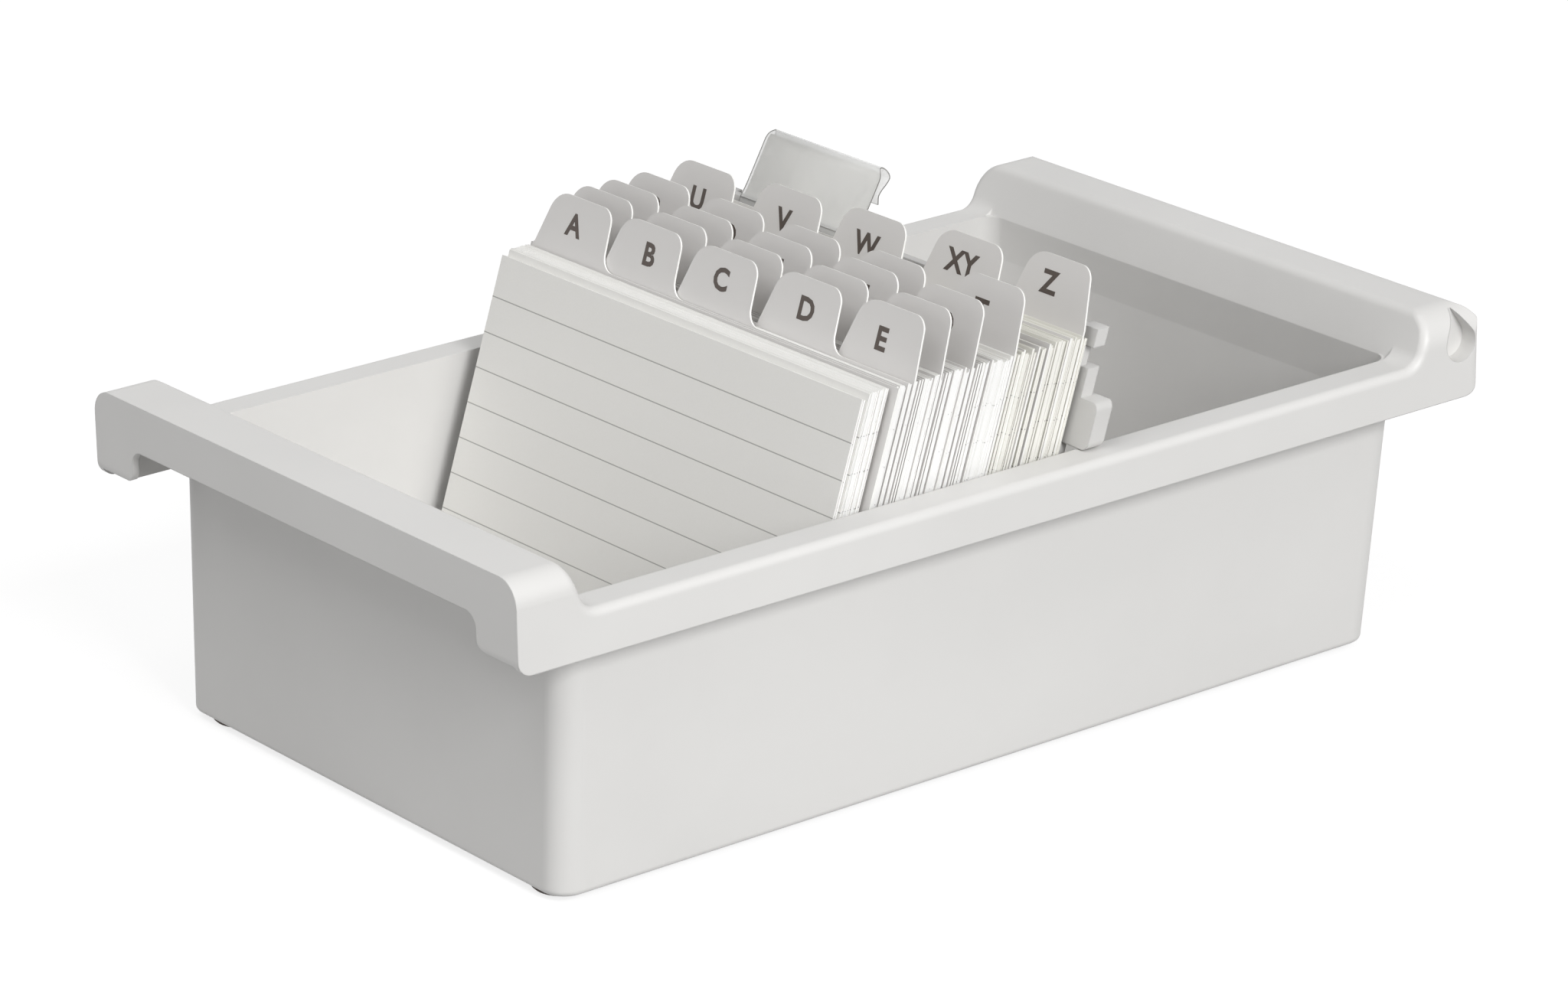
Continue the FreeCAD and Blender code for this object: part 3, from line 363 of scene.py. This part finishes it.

# %% [markdown]
# ## Clear film
# The label tab is folded from clear rigid PVC film 0.35 mm thick. Rolled film is
# smooth and glossy, with faint scuffs. A glass shader would bend the light at
# every face, which a thin flat sheet hardly does, so the film is a pale hazy
# sheet that lets two thirds of what is behind it through. A cut edge gathers the
# light that runs inside the sheet and looks like a dark line. That dark line is
# painted: the edges get a material of their own, an opaque dark grey that is
# painted shade.

# %% Materials of the label tab
SCUFF = 20 * MM
FILM_IOR = 1.54
film, tree = start_material("clear_pvc_film")
scuff, tint = cloudy(tree, SCUFF, 2.0, "F4F4F2", "F7F7F5")
gloss = add_node(tree, "ShaderNodeMapRange",
                 {"Value": scuff, "To Min": 0.2, "To Max": 0.26})
shader = add_node(tree, "ShaderNodeBsdfPrincipled",
                  {"Base Color": tint, "Roughness": gloss.outputs["Result"],
                   "IOR": FILM_IOR, "Alpha": 0.36})
end_material(film, shader)

film_edge_painted_shade, tree = start_material("cut_pvc_film_edge")
# Opaque dark grey: painted shade for the dark line of clear film's cut edges and crease.
_, colour = cloudy(tree, SCUFF, 5.0, "7A7876", "979592")
shader = add_node(tree, "ShaderNodeBsdfPrincipled",
                  {"Base Color": colour, "Roughness": 0.3, "IOR": FILM_IOR})
end_material(film_edge_painted_shade, shader)

# %% [markdown]
# ## Label paper
# The strip in the tab is plain uncoated writing paper. It has no gloss at all,
# and its fibres make a fine mottle of two whites.

# %% Material of the label paper
LABEL_FIBRE = 0.4 * MM
label_stock, tree = start_material("uncoated_label_paper")
_, colour = cloudy(tree, LABEL_FIBRE, 4.0, "F3F2EF", "F7F6F3")
shader = add_node(tree, "ShaderNodeBsdfPrincipled",
                  {"Base Color": colour, "Roughness": 0.85})
end_material(label_stock, shader)

# %% [markdown]
# ## Dressing the CAD nodes
# A node keeps its mesh and only gets a material. The name of a node says what it
# is made of, so a short table of how the names start is enough. The first row
# that fits counts, and the last row is for all that is left, the ruled cards.

# %% Give each CAD node its material
FINISHES = (
    ("tray", tray_plastic), ("foot_", rubber), ("guide_", guide_sheet),
    ("support_plate", plate_plastic), ("label_paper", label_stock),
    ("label_tab", film), ("", white_stock),
)
for name, node in frame["nodes"].items():
    finish = next(material for start, material in FINISHES if name.startswith(start))
    node.data.materials.clear()
    node.data.materials.append(finish)
print("dressed nodes:", len(frame["nodes"]))

# %% [markdown]
# ## The cards, one by one
# In the CAD model each group of filed cards is one block. Real cards never line
# up: each stands a little to the left or right and a little turned, and a few
# together stick, so they move as a clump. That raggedness is what makes a cut
# edge look like paper. So each block gives way to its separate cards, built as
# one mesh per block. A block is filled clump by clump: a clump shares one shift
# sideways and one height, and a thin gap parts it from the next. The cards stand
# against the right ends of the guides and touch the guides before and behind
# them, which the block stays just clear of. The older sections at the back are
# looser than the ones in front. A seeded random generator makes the same cards in
# every run.

# %% Add one card to a mesh
CARD_WIDTH = 148.0 * MM
CARD_HEIGHT = 105.0 * MM
CARD_SHEET = 0.2 * MM
# Front, back, bottom, right, top and left of a card, by its eight corners.
CARD_SIDES = ((0, 1, 2, 3), (7, 6, 5, 4), (0, 4, 5, 1),
              (1, 5, 6, 2), (2, 6, 7, 3), (3, 7, 4, 0))


def add_card(lists, foot, height, shift=0.0, turn=0.0):
    """Add one card to the points, faces and chart of a mesh."""
    points, faces, chart = lists
    first = len(points)
    half = CARD_WIDTH / 2
    corners = [(-half, 0.0), (half, 0.0), (half, height), (-half, height)]
    flat = []
    for out in (0.0, -CARD_SHEET):
        for across, up in corners:
            points.append(on_sheet(foot, across + shift - turn * up,
                                   up + turn * across, out))
            flat.append((across / MM, (height - up) / MM))
    for side in CARD_SIDES:
        faces.append([first + corner for corner in side])
        chart.extend(flat[corner] for corner in side)


def make_mesh_piece(name, points, faces, material, chart=None):
    """Make a mesh object from lists, with its chart if there is one."""
    mesh = bpy.data.meshes.new(name)
    mesh.from_pydata([tuple(point) for point in points], [], faces)
    if chart:
        layer = mesh.uv_layers.new(name="millimetres")
        for corner, value in zip(layer.data, chart):
            corner.uv = value
    mesh.materials.append(material)
    mesh.validate()
    piece = bpy.data.objects.new(name, mesh)
    bpy.context.scene.collection.objects.link(piece)
    return piece


print("faces of one card:", len(CARD_SIDES))

# %% Fill the sections with cards
FILED_HEIGHT = 106.6 * MM
HEIGHT_PLAY = 0.2 * MM
OFF_FLOOR = 0.1 * MM
CARD_AIR = 0.003 * MM
CARD_PLAY = 0.015 * MM
TURN_PLAY = 0.0006
PUSHED_RIGHT = 1.4 * MM
SLACK_BEFORE, SLACK_BEHIND = 0.09 * MM, 0.18 * MM
CLUMP_PLAY = 0.22 * MM
CLUMP_SIZES = (1, 2, 3, 3, 4, 6)
CLUMP_DROPS = (0.0, 0.2, 0.5, 0.9, 1.4)


def card_places(depth, spare, dice):
    """Fill a depth clump by clump: how far in, shift and drop of each card."""
    places = []
    reach = CARD_SHEET
    while reach < depth:
        shift = PUSHED_RIGHT + dice.uniform(-CLUMP_PLAY, CLUMP_PLAY)
        drop = dice.choice(CLUMP_DROPS) * MM
        for _ in range(dice.choice(CLUMP_SIZES)):
            if reach < depth:
                own = shift + dice.uniform(-CARD_PLAY, CARD_PLAY)
                places.append((reach - CARD_SHEET, own, drop))
                reach += CARD_SHEET + CARD_AIR
        reach += dice.random() * spare
    return places


def make_cards(node, body, material, spare):
    """Replace a block of cards by its separate cards."""
    low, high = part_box(node)
    depth = (high.y - low.y - (high.z - low.z) * math.tan(LEAN)) * math.cos(LEAN)
    dice = random.Random(f"cards of {node}")
    lists = ([], [], [])
    places = card_places(depth + SLACK_BEFORE + SLACK_BEHIND, spare, dice)
    for place, shift, drop in places:
        foot = Vector((0, low.y + (place - SLACK_BEFORE) / math.cos(LEAN),
                       low.z + OFF_FLOOR))
        height = FILED_HEIGHT - drop - dice.random() ** 2 * HEIGHT_PLAY
        add_card(lists, foot, height, shift, dice.gauss(0, TURN_PLAY))
    piece = make_mesh_piece(f"cards_{node}", *lists[:2], material, lists[2])
    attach(piece, body)
    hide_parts(node)
    return len(places)


CREAM_SECTIONS = ("t", "u", "v", "w", "xy", "z")
TIGHT, LOOSE = 0.04 * MM, 0.4 * MM
total = 0
for letter in feet_of_sections:
    if f"pack_{letter}" in frame["nodes"]:
        older = letter in CREAM_SECTIONS
        stock, spare = (cream_stock, LOOSE) if older else (white_stock, TIGHT)
        total += make_cards(f"pack_{letter}", f"section_{letter}", stock, spare)
print("filed cards:", total)

# %% [markdown]
# ## The cards in use
# In front of the first guide stand the cards that were last in hand: a few
# level with the ruled front card, and a stack that stands a little higher and
# further right. They press against the front card, and an air gap of almost a
# millimetre is left before guide A.

# %% The pack behind the front card
USED_PITCH = 0.215 * MM
USED_HEIGHT_PLAY, USED_SHIFT_PLAY = 0.3 * MM, 0.25 * MM
USED_TURN_PLAY = 0.0005
LEVEL_CARDS, HIGH_CARDS = 4, 26
# Name, first card, number of cards, height, shift to the right and gap before.
STACKS = (
    ("level", 0, LEVEL_CARDS, CARD_HEIGHT - 0.4 * MM, 0.0, 0.0),
    ("high", LEVEL_CARDS, HIGH_CARDS, CARD_HEIGHT + 1.5 * MM, 0.8 * MM, 0.06 * MM),
)
pack_low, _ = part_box("front_pack")
dice = random.Random("cards in use")
for name, first, count, height, shift, gap in STACKS:
    lists = ([], [], [])
    for number in range(first, first + count):
        place = number * USED_PITCH + gap
        foot = Vector((0, pack_low.y + place / math.cos(LEAN),
                       pack_low.z + OFF_FLOOR))
        add_card(lists, foot, height - dice.random() * USED_HEIGHT_PLAY,
                 shift + dice.uniform(-USED_SHIFT_PLAY, USED_SHIFT_PLAY),
                 dice.gauss(0, USED_TURN_PLAY))
    pack = make_mesh_piece(f"cards_front_pack_{name}", *lists[:2], white_stock,
                           lists[2])
    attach(pack, "front_pack")
    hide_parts("front_pack")
print("cards in use:", LEVEL_CARDS + HIGH_CARDS)

# %% The ruled card in front
card_low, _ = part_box("front_card")
lists = ([], [], [])
front_foot = Vector((0, card_low.y, joints["front_pack_tilt"]["pos_m"][2]))
add_card(lists, front_foot, CARD_HEIGHT)
front_card = make_mesh_piece("ruled_front_card", *lists[:2], white_stock, lists[2])
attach(front_card, "front_card")
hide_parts("front_card")
print("front card stands at y in mm:", round(card_low.y / MM, 2))

# %% [markdown]
# ## The guide cards
# A guide is die-cut: its tab rises from the shoulder, leans in on the left, and
# on the right runs back into the shoulder in a sweep, so that it slides past its
# neighbours. The die reaches a little beyond the cards, upwards and to the right.
# The outline is drawn as a polygon first, then its corners are rounded: each arc
# starts and ends where it touches both sides. The flat outline becomes one face
# in front, one behind and a strip all round.

# %% Draw the outline of a guide
TAB_COLUMNS = 5
GUIDE_LEFT, GUIDE_RIGHT = -74.2 * MM, 75.8 * MM
SHOULDER = 106.8 * MM
TAB_TOP = 122.3 * MM
TAB_WIDTH = (GUIDE_RIGHT - GUIDE_LEFT) / TAB_COLUMNS
TAB_INSET_LEFT, TAB_INSET_RIGHT = 0.4 * MM, 0.2 * MM
LEFT_SLANT, LEFT_ROUND = 5.0 * MM, 7.0 * MM
RIGHT_ROUND, SWEEP_ROUND = 4.0 * MM, 4.5 * MM
ARC_STEPS = 8


def round_corner(before, corner, after, radius):
    """Points of the arc that rounds one corner of an outline."""
    one, two = (before - corner).normalized(), (after - corner).normalized()
    half = one.angle(two) / 2
    centre = corner + (one + two).normalized() * radius / math.sin(half)
    start = corner + one * radius / math.tan(half) - centre
    end = corner + two * radius / math.tan(half) - centre
    arc = []
    for step in range(ARC_STEPS + 1):
        blend = start.lerp(end, step / ARC_STEPS)
        arc.append(centre + blend.normalized() * radius)
    return arc


def guide_outline(column, slant):
    """Outline of one guide card, from its lower left corner all the way round."""
    left = GUIDE_LEFT + column * TAB_WIDTH + TAB_INSET_LEFT
    right = GUIDE_LEFT + (column + 1) * TAB_WIDTH - TAB_INSET_RIGHT
    corners = [
        (GUIDE_LEFT, 0.0, 0.0), (GUIDE_RIGHT, 0.0, 0.0), (GUIDE_RIGHT, SHOULDER, 0.0),
        (right, SHOULDER, SWEEP_ROUND), (right - slant, TAB_TOP, RIGHT_ROUND),
        (left + LEFT_SLANT, TAB_TOP, LEFT_ROUND), (left, SHOULDER, 0.0),
        (GUIDE_LEFT, SHOULDER, 0.0),
    ]
    if column == TAB_COLUMNS - 1:  # The last tab has no shoulder on its right.
        corners[2:4] = [(right, SHOULDER, 0.0)]
    spots = [Vector((across, up, 0)) for across, up, _ in corners]
    outline = []
    for number, (_, _, radius) in enumerate(corners):
        before, after = spots[number - 1], spots[(number + 1) % len(spots)]
        if radius:
            outline += round_corner(before, spots[number], after, radius)
        else:
            outline.append(spots[number])
    return outline


print("tab width in mm:", round(TAB_WIDTH / MM, 1))

# %% Cut the guides
GUIDE_SHEET = 0.5 * MM
RIGHT_SLANT = 0.9 * MM
# The dies weren't all alike: some tabs slant more on the right.
OTHER_SLANTS = {"e": 1.4 * MM, "j": 1.4 * MM, "t": 1.6 * MM, "z": 2.9 * MM}
# A few guides were pushed to the side or up a little in use, in mm.
NUDGED = {"a": (1.6, 0.0), "u": (-0.6, 0.0), "z": (-0.3, 0.7)}


def cut_guide(letter, column, foot):
    """Make one guide card that stands at its section's foot."""
    outline = guide_outline(column, OTHER_SLANTS.get(letter, RIGHT_SLANT))
    aside, above = NUDGED.get(letter, (0.0, 0.0))
    count = len(outline)
    points = [on_sheet(foot, spot.x + aside * MM, spot.y + above * MM, out)
              for out in (0.0, -GUIDE_SHEET) for spot in outline]
    faces = [tuple(range(count)), tuple(range(2 * count - 1, count - 1, -1))]
    for number in range(count):
        after = (number + 1) % count
        faces.append((number, number + count, after + count, after))
    guide = make_mesh_piece(f"cut_guide_{letter}", points, faces, guide_sheet)
    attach(guide, f"section_{letter}")
    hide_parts(f"guide_{letter}")


for number, (letter, foot) in enumerate(feet_of_sections.items()):
    cut_guide(letter, number % TAB_COLUMNS, foot)
print("guides:", len(feet_of_sections))

# %% [markdown]
# ## The letters
# Each guide carries its letter in the middle of its tab: A to W one by one, then
# XY together, then Z. A text object gives a clean outline for free, so each
# letter starts as text, becomes a mesh and is laid a hair in front of its guide,
# like a printed film. The built-in typeface is light, so its outline is pushed
# outwards until the strokes are as heavy as a bold letter's. The sheets were cut
# after printing and not quite in register, so a letter stands up to 3 mm off the
# middle of its tab.

# %% Print the letters on the tabs
LETTER_UP = 114.3 * MM
LETTER_HEIGHT = 6.1 * MM
CAPITAL_SHARE = 0.74
WIDENED = 1.05
STROKE_PUSH = 0.27 * MM
# A push folds the outline over in the narrow angles of the M. Less push makes
# the fold smaller, but the strokes still run together there.
OTHER_PUSHES = {"m": 0.13 * MM}
INK_FILM = 0.02 * MM
# How far right of and above the middle of its tab a letter stands, in mm.
USUAL_REGISTER = (1.0, 0.0)
OTHER_REGISTERS = {
    "a": (1.6, 0.8), "b": (2.8, 0.4), "c": (1.1, 0.9), "d": (2.3, 0.3),
    "e": (-0.3, -0.7), "t": (-1.2, -0.6), "u": (0.0, -0.9), "v": (0.4, -0.3),
    "w": (0.3, -0.3), "xy": (-0.1, 0.7), "z": (-1.8, 1.7),
}


def print_letter(letter, column, foot):
    """Lay one letter on its tab."""
    text = bpy.data.curves.new(f"text_{letter}", "FONT")
    text.body = letter.upper()
    text.align_x = "CENTER"
    text.size = LETTER_HEIGHT / CAPITAL_SHARE
    text.offset = OTHER_PUSHES.get(letter, STROKE_PUSH)
    text.resolution_u = 3
    holder = bpy.data.objects.new(f"text_{letter}", text)
    bpy.context.scene.collection.objects.link(holder)
    bpy.context.view_layer.update()
    mesh = bpy.data.meshes.new_from_object(holder)
    bpy.data.objects.remove(holder)
    all_across = [vertex.co.x for vertex in mesh.vertices]
    all_up = [vertex.co.y for vertex in mesh.vertices]
    own_middle = (min(all_across) + max(all_across)) / 2
    own_level = (min(all_up) + max(all_up)) / 2
    rise = LETTER_HEIGHT / (max(all_up) - min(all_up))
    aside, above = OTHER_REGISTERS.get(letter, USUAL_REGISTER)
    tab_centre = GUIDE_LEFT + (column + 0.5) * TAB_WIDTH + aside * MM
    for vertex in mesh.vertices:
        across = (vertex.co.x - own_middle) * WIDENED + tab_centre
        up = (vertex.co.y - own_level) * rise + LETTER_UP + above * MM
        vertex.co = on_sheet(foot, across, up, INK_FILM)
    mesh.materials.clear()
    mesh.materials.append(ink)
    piece = bpy.data.objects.new(f"letter_{letter}", mesh)
    bpy.context.scene.collection.objects.link(piece)
    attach(piece, f"section_{letter}")


for number, (letter, foot) in enumerate(feet_of_sections.items()):
    print_letter(letter, number % TAB_COLUMNS, foot)
print("letters:", " ".join(feet_of_sections))

# %% [markdown]
# ## The clear label tab
# The CAD model has the tab as a strip with sharp folds. The real strip is bent
# warm over a rod: it rises from the plate, rolls over in a loop at the top,
# comes down until it touches the front leaf, and springs away again at its end.
# That is one curve in side view. So the strip is made from the curve: a spline
# through a few points gives a smooth line, and each point of the line gives a
# row of the sheet.

# %% Draw the side view of the film
# The film's middle in mm: back from the fold, and below the top.
SIDE_VIEW = [
    (-17.0, -22.9), (-16.1, -20.2), (-15.4, -17.6), (-14.8, -16.4), (-13.2, -14.1),
    (-11.1, -10.6), (-8.2, -5.6), (-6.4, -2.4), (-5.7, -1.0), (-5.0, -0.35),
    (-4.2, -0.3), (-3.6, -0.9), (-3.25, -1.9), (-3.3, -3.0), (-4.3, -4.2),
    (-5.9, -5.6), (-6.9, -6.8), (-7.15, -8.0), (-7.2, -9.3),
]
STEPS_BETWEEN = 4


def smooth_line(points, steps):
    """Draw a smooth line through points, with some steps between two of them."""
    line = []
    ends = [points[0]] + points + [points[-1]]
    for before, start, end, after in zip(ends, ends[1:], ends[2:], ends[3:]):
        for step in range(steps):
            t = step / steps
            line.append(0.5 * (2 * start + (end - before) * t
                               + (2 * before - 5 * start + 4 * end - after) * t ** 2
                               + (3 * start - before - 3 * end + after) * t ** 3))
    return line + [points[-1]]


middle_line = smooth_line([Vector((0, y * MM, z * MM)) for y, z in SIDE_VIEW],
                          STEPS_BETWEEN)
print("rows of the folded film:", len(middle_line))

# %% [markdown]
# The sheet gets its thickness on both sides of the line. Its two upper corners
# are cut round, which is done by drawing the rows near the fold narrower. The cut
# edges get the dark material of painted shade, and so does a crease low in the
# front leaf, where it paints a dark line.
# The paper is a second, thinner sheet that follows the front leaf's part of the
# line, a little behind the film.

# %% Bend a sheet along a line
TAB_LOW, TAB_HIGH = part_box("label_tab")
TAB_ROUND = 3.0 * MM
tab_middle = Vector(((TAB_LOW.x + TAB_HIGH.x) / 2, TAB_HIGH.y, TAB_HIGH.z))
tab_half = (TAB_HIGH.x - TAB_LOW.x) / 2


def curved_sheet(name, line, half, sheet, inset, material):
    """Make a thin sheet that follows a line in the side view."""
    points, faces = [], []
    for number, spot in enumerate(line):
        ahead = line[min(number + 1, len(line) - 1)]
        behind = line[max(number - 1, 0)]
        outward = ACROSS.cross((ahead - behind).normalized())
        below_fold = -spot.z
        cut = 0.0
        if below_fold < TAB_ROUND:
            cut = TAB_ROUND - math.sqrt(TAB_ROUND ** 2 - (TAB_ROUND - below_fold) ** 2)
        for side in (-1, 1):
            for face in (-0.5, 0.5):
                across = ACROSS * side * (half - cut)
                out = outward * (face * sheet + inset)
                points.append(tab_middle + spot + across + out)
    for row in range(len(line) - 1):
        a, b = 4 * row, 4 * row + 4
        faces += [(a, a + 2, b + 2, b), (a + 1, b + 1, b + 3, a + 3),
                  (a, b, b + 1, a + 1), (a + 2, a + 3, b + 3, b + 2)]
    last = 4 * (len(line) - 1)
    faces += [(0, 1, 3, 2), (last, last + 2, last + 3, last + 1)]
    return make_mesh_piece(name, points, faces, material)


print("label tab width in mm:", round(2 * tab_half / MM, 1))

# %% Fold the film
FILM_SHEET = 0.35 * MM
CREASE_LOW, CREASE_HIGH = -17.1 * MM, -16.8 * MM
label_tab = curved_sheet("folded_label_tab", middle_line, tab_half, FILM_SHEET, 0.0,
                         film)
label_tab.data.materials.append(film_edge_painted_shade)
cut_ends = 4 * (len(middle_line) - 1)
for number, face in enumerate(label_tab.data.polygons):
    row = number // 4
    in_crease = number < cut_ends and CREASE_LOW < middle_line[row].z < CREASE_HIGH
    is_edge = number >= cut_ends or number % 4 >= 2
    # The cut edges and the crease band take the painted shade material.
    face.material_index = 1 if is_edge or in_crease else 0
    face.use_smooth = not is_edge
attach(label_tab, "label")
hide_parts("label_tab")
print("faces of the film:", len(label_tab.data.polygons))

# %% Slip the paper in
PAPER_LOW, PAPER_HIGH = -16.2 * MM, -0.8 * MM
PAPER_BACK = -5.6 * MM
PAPER_SHEET = 0.12 * MM
PAPER_INSET = -0.33 * MM
PAPER_MARGIN = 0.6 * MM
rising_half = middle_line[:len(middle_line) // 2]
front_leaf = [spot for spot in rising_half
              if PAPER_LOW < spot.z < PAPER_HIGH and spot.y < PAPER_BACK]
label_paper = curved_sheet("label_insert", front_leaf, tab_half - PAPER_MARGIN,
                           PAPER_SHEET, PAPER_INSET, label_stock)
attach(label_paper, "label")
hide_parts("label_paper")
print("rows of the label paper:", len(front_leaf))


# %% [markdown]
# ## The floor
# The drawer stands on a pale sweep. The floor looks white to the camera and in
# reflections, which the Light Path node can tell from the other rays, and still
# keeps the drawer's shadow. The room uses the same switch, so it is a function.

# %% Pale floor that keeps the shadow
def seen_or_mirrored(tree):
    """Give 1 to the rays of the camera, of reflections and through clear things."""
    rays = add_node(tree, "ShaderNodeLightPath")
    mirrored = add_node(tree, "ShaderNodeMath",
                        {0: rays.outputs["Is Glossy Ray"],
                         1: rays.outputs["Is Transmission Ray"]},
                        operation="MAXIMUM").outputs[0]
    return add_node(tree, "ShaderNodeMath",
                    {0: rays.outputs["Is Camera Ray"], 1: mirrored},
                    operation="MAXIMUM").outputs[0]


FLOOR_HALF = 6.0
FLOOR_GLOW = 0.77
floor_mesh = bpy.data.meshes.new("floor")
floor_mesh.from_pydata(
    [(-FLOOR_HALF, -FLOOR_HALF, 0), (FLOOR_HALF, -FLOOR_HALF, 0),
     (FLOOR_HALF, FLOOR_HALF, 0), (-FLOOR_HALF, FLOOR_HALF, 0)],
    [], [(0, 1, 2, 3)])
floor = bpy.data.objects.new("floor", floor_mesh)
bpy.context.scene.collection.objects.link(floor)
floor_paint, tree = start_material("pale_floor")
matt = add_node(tree, "ShaderNodeBsdfDiffuse", {"Color": linear("A8A8A8")})
glow = add_node(tree, "ShaderNodeEmission",
                {"Color": linear("FFFFFF"), "Strength": FLOOR_GLOW})
nothing = add_node(tree, "ShaderNodeEmission", {"Strength": 0.0})
lift = add_node(tree, "ShaderNodeMixShader",
                {0: seen_or_mirrored(tree), 1: nothing.outputs[0], 2: glow.outputs[0]})
both = add_node(tree, "ShaderNodeAddShader", {0: matt.outputs[0], 1: lift.outputs[0]})
end_material(floor_paint, both)
floor_mesh.materials.append(floor_paint)

# %% [markdown]
# ## Room and lamps
# A soft lamp at the right gives the bright side and the rounded highlights, and
# a wide one above the handle lights what faces up, such as the leaning cards. A
# weak low one in front lifts the handle side, which stays a middle grey, and
# leaves the inside behind the cards darker. The room fills the rest weakly.

# %% Pale room
ROOM_LEVEL = 0.28
world = bpy.data.worlds.new("pale_room")
bpy.context.scene.world = world
world.use_nodes = True
tree = world.node_tree
tree.nodes.clear()
strength = add_node(tree, "ShaderNodeMapRange",
                    {"Value": seen_or_mirrored(tree), "To Min": ROOM_LEVEL,
                     "To Max": 1.0})
sky = add_node(tree, "ShaderNodeBackground",
               {"Color": linear("FFFFFF"), "Strength": strength.outputs["Result"]})
add_node(tree, "ShaderNodeOutputWorld", {"Surface": sky.outputs[0]})
print("room level:", ROOM_LEVEL)

# %% Lamps
# Name, place and size in metres, and power in watts.
LAMPS = (
    ("right_lamp", (2.2, -0.2, 1.25), 1.1, 45.0),
    ("high_lamp", (0.1, -1.1, 2.2), 1.6, 15.0),
    ("front_lamp", (-0.1, -2.2, 0.8), 1.2, 4.5),
)
for name, position, size, power in LAMPS:
    lamp = bpy.data.lights.new(name, "AREA")
    lamp.shape = "SQUARE"
    lamp.size = size
    lamp.energy = power
    holder = bpy.data.objects.new(name, lamp)
    holder.location = position
    towards_drawer = -Vector(position)
    holder.rotation_euler = towards_drawer.to_track_quat("-Z", "Y").to_euler()
    bpy.context.scene.collection.objects.link(holder)
    print("lamp:", name, "power in watts:", power)

# %% [markdown]
# ## The camera
# A long lens at the handle's right-hand corner, about twenty degrees above the
# floor, keeps the drawer's edges almost parallel. Its direction is given as three
# angles, and the camera's own axes are built from them: right, up and back, which
# is the way that a Blender camera's Z axis points.

# %% Camera at the handle's right-hand corner
AZIMUTH, ELEVATION, ROLL = (math.radians(value) for value in (52.024, 20.31, -0.845))
CAMERA_PLACE = (1.19158, -0.93540, 0.61028)
LENS = 144.66
SENSOR = 36.0
back = Vector((math.sin(AZIMUTH) * math.cos(ELEVATION),
               -math.cos(AZIMUTH) * math.cos(ELEVATION), math.sin(ELEVATION)))
level_right = (-back).cross(Vector((0, 0, 1))).normalized()
level_up = level_right.cross(-back)
right = level_right * math.cos(ROLL) + level_up * math.sin(ROLL)
up = level_up * math.cos(ROLL) - level_right * math.sin(ROLL)
lens = bpy.data.cameras.new("camera")
lens.lens = LENS
lens.sensor_width = SENSOR
lens.clip_end = 50.0
camera = bpy.data.objects.new("camera", lens)
turned = Matrix((right, up, back)).transposed().to_4x4()
camera.matrix_world = Matrix.Translation(CAMERA_PLACE) @ turned
bpy.context.scene.collection.objects.link(camera)
bpy.context.scene.camera = camera
bpy.context.scene.view_settings.view_transform = "Standard"
print("camera looks along:", [round(value, 3) for value in -back])
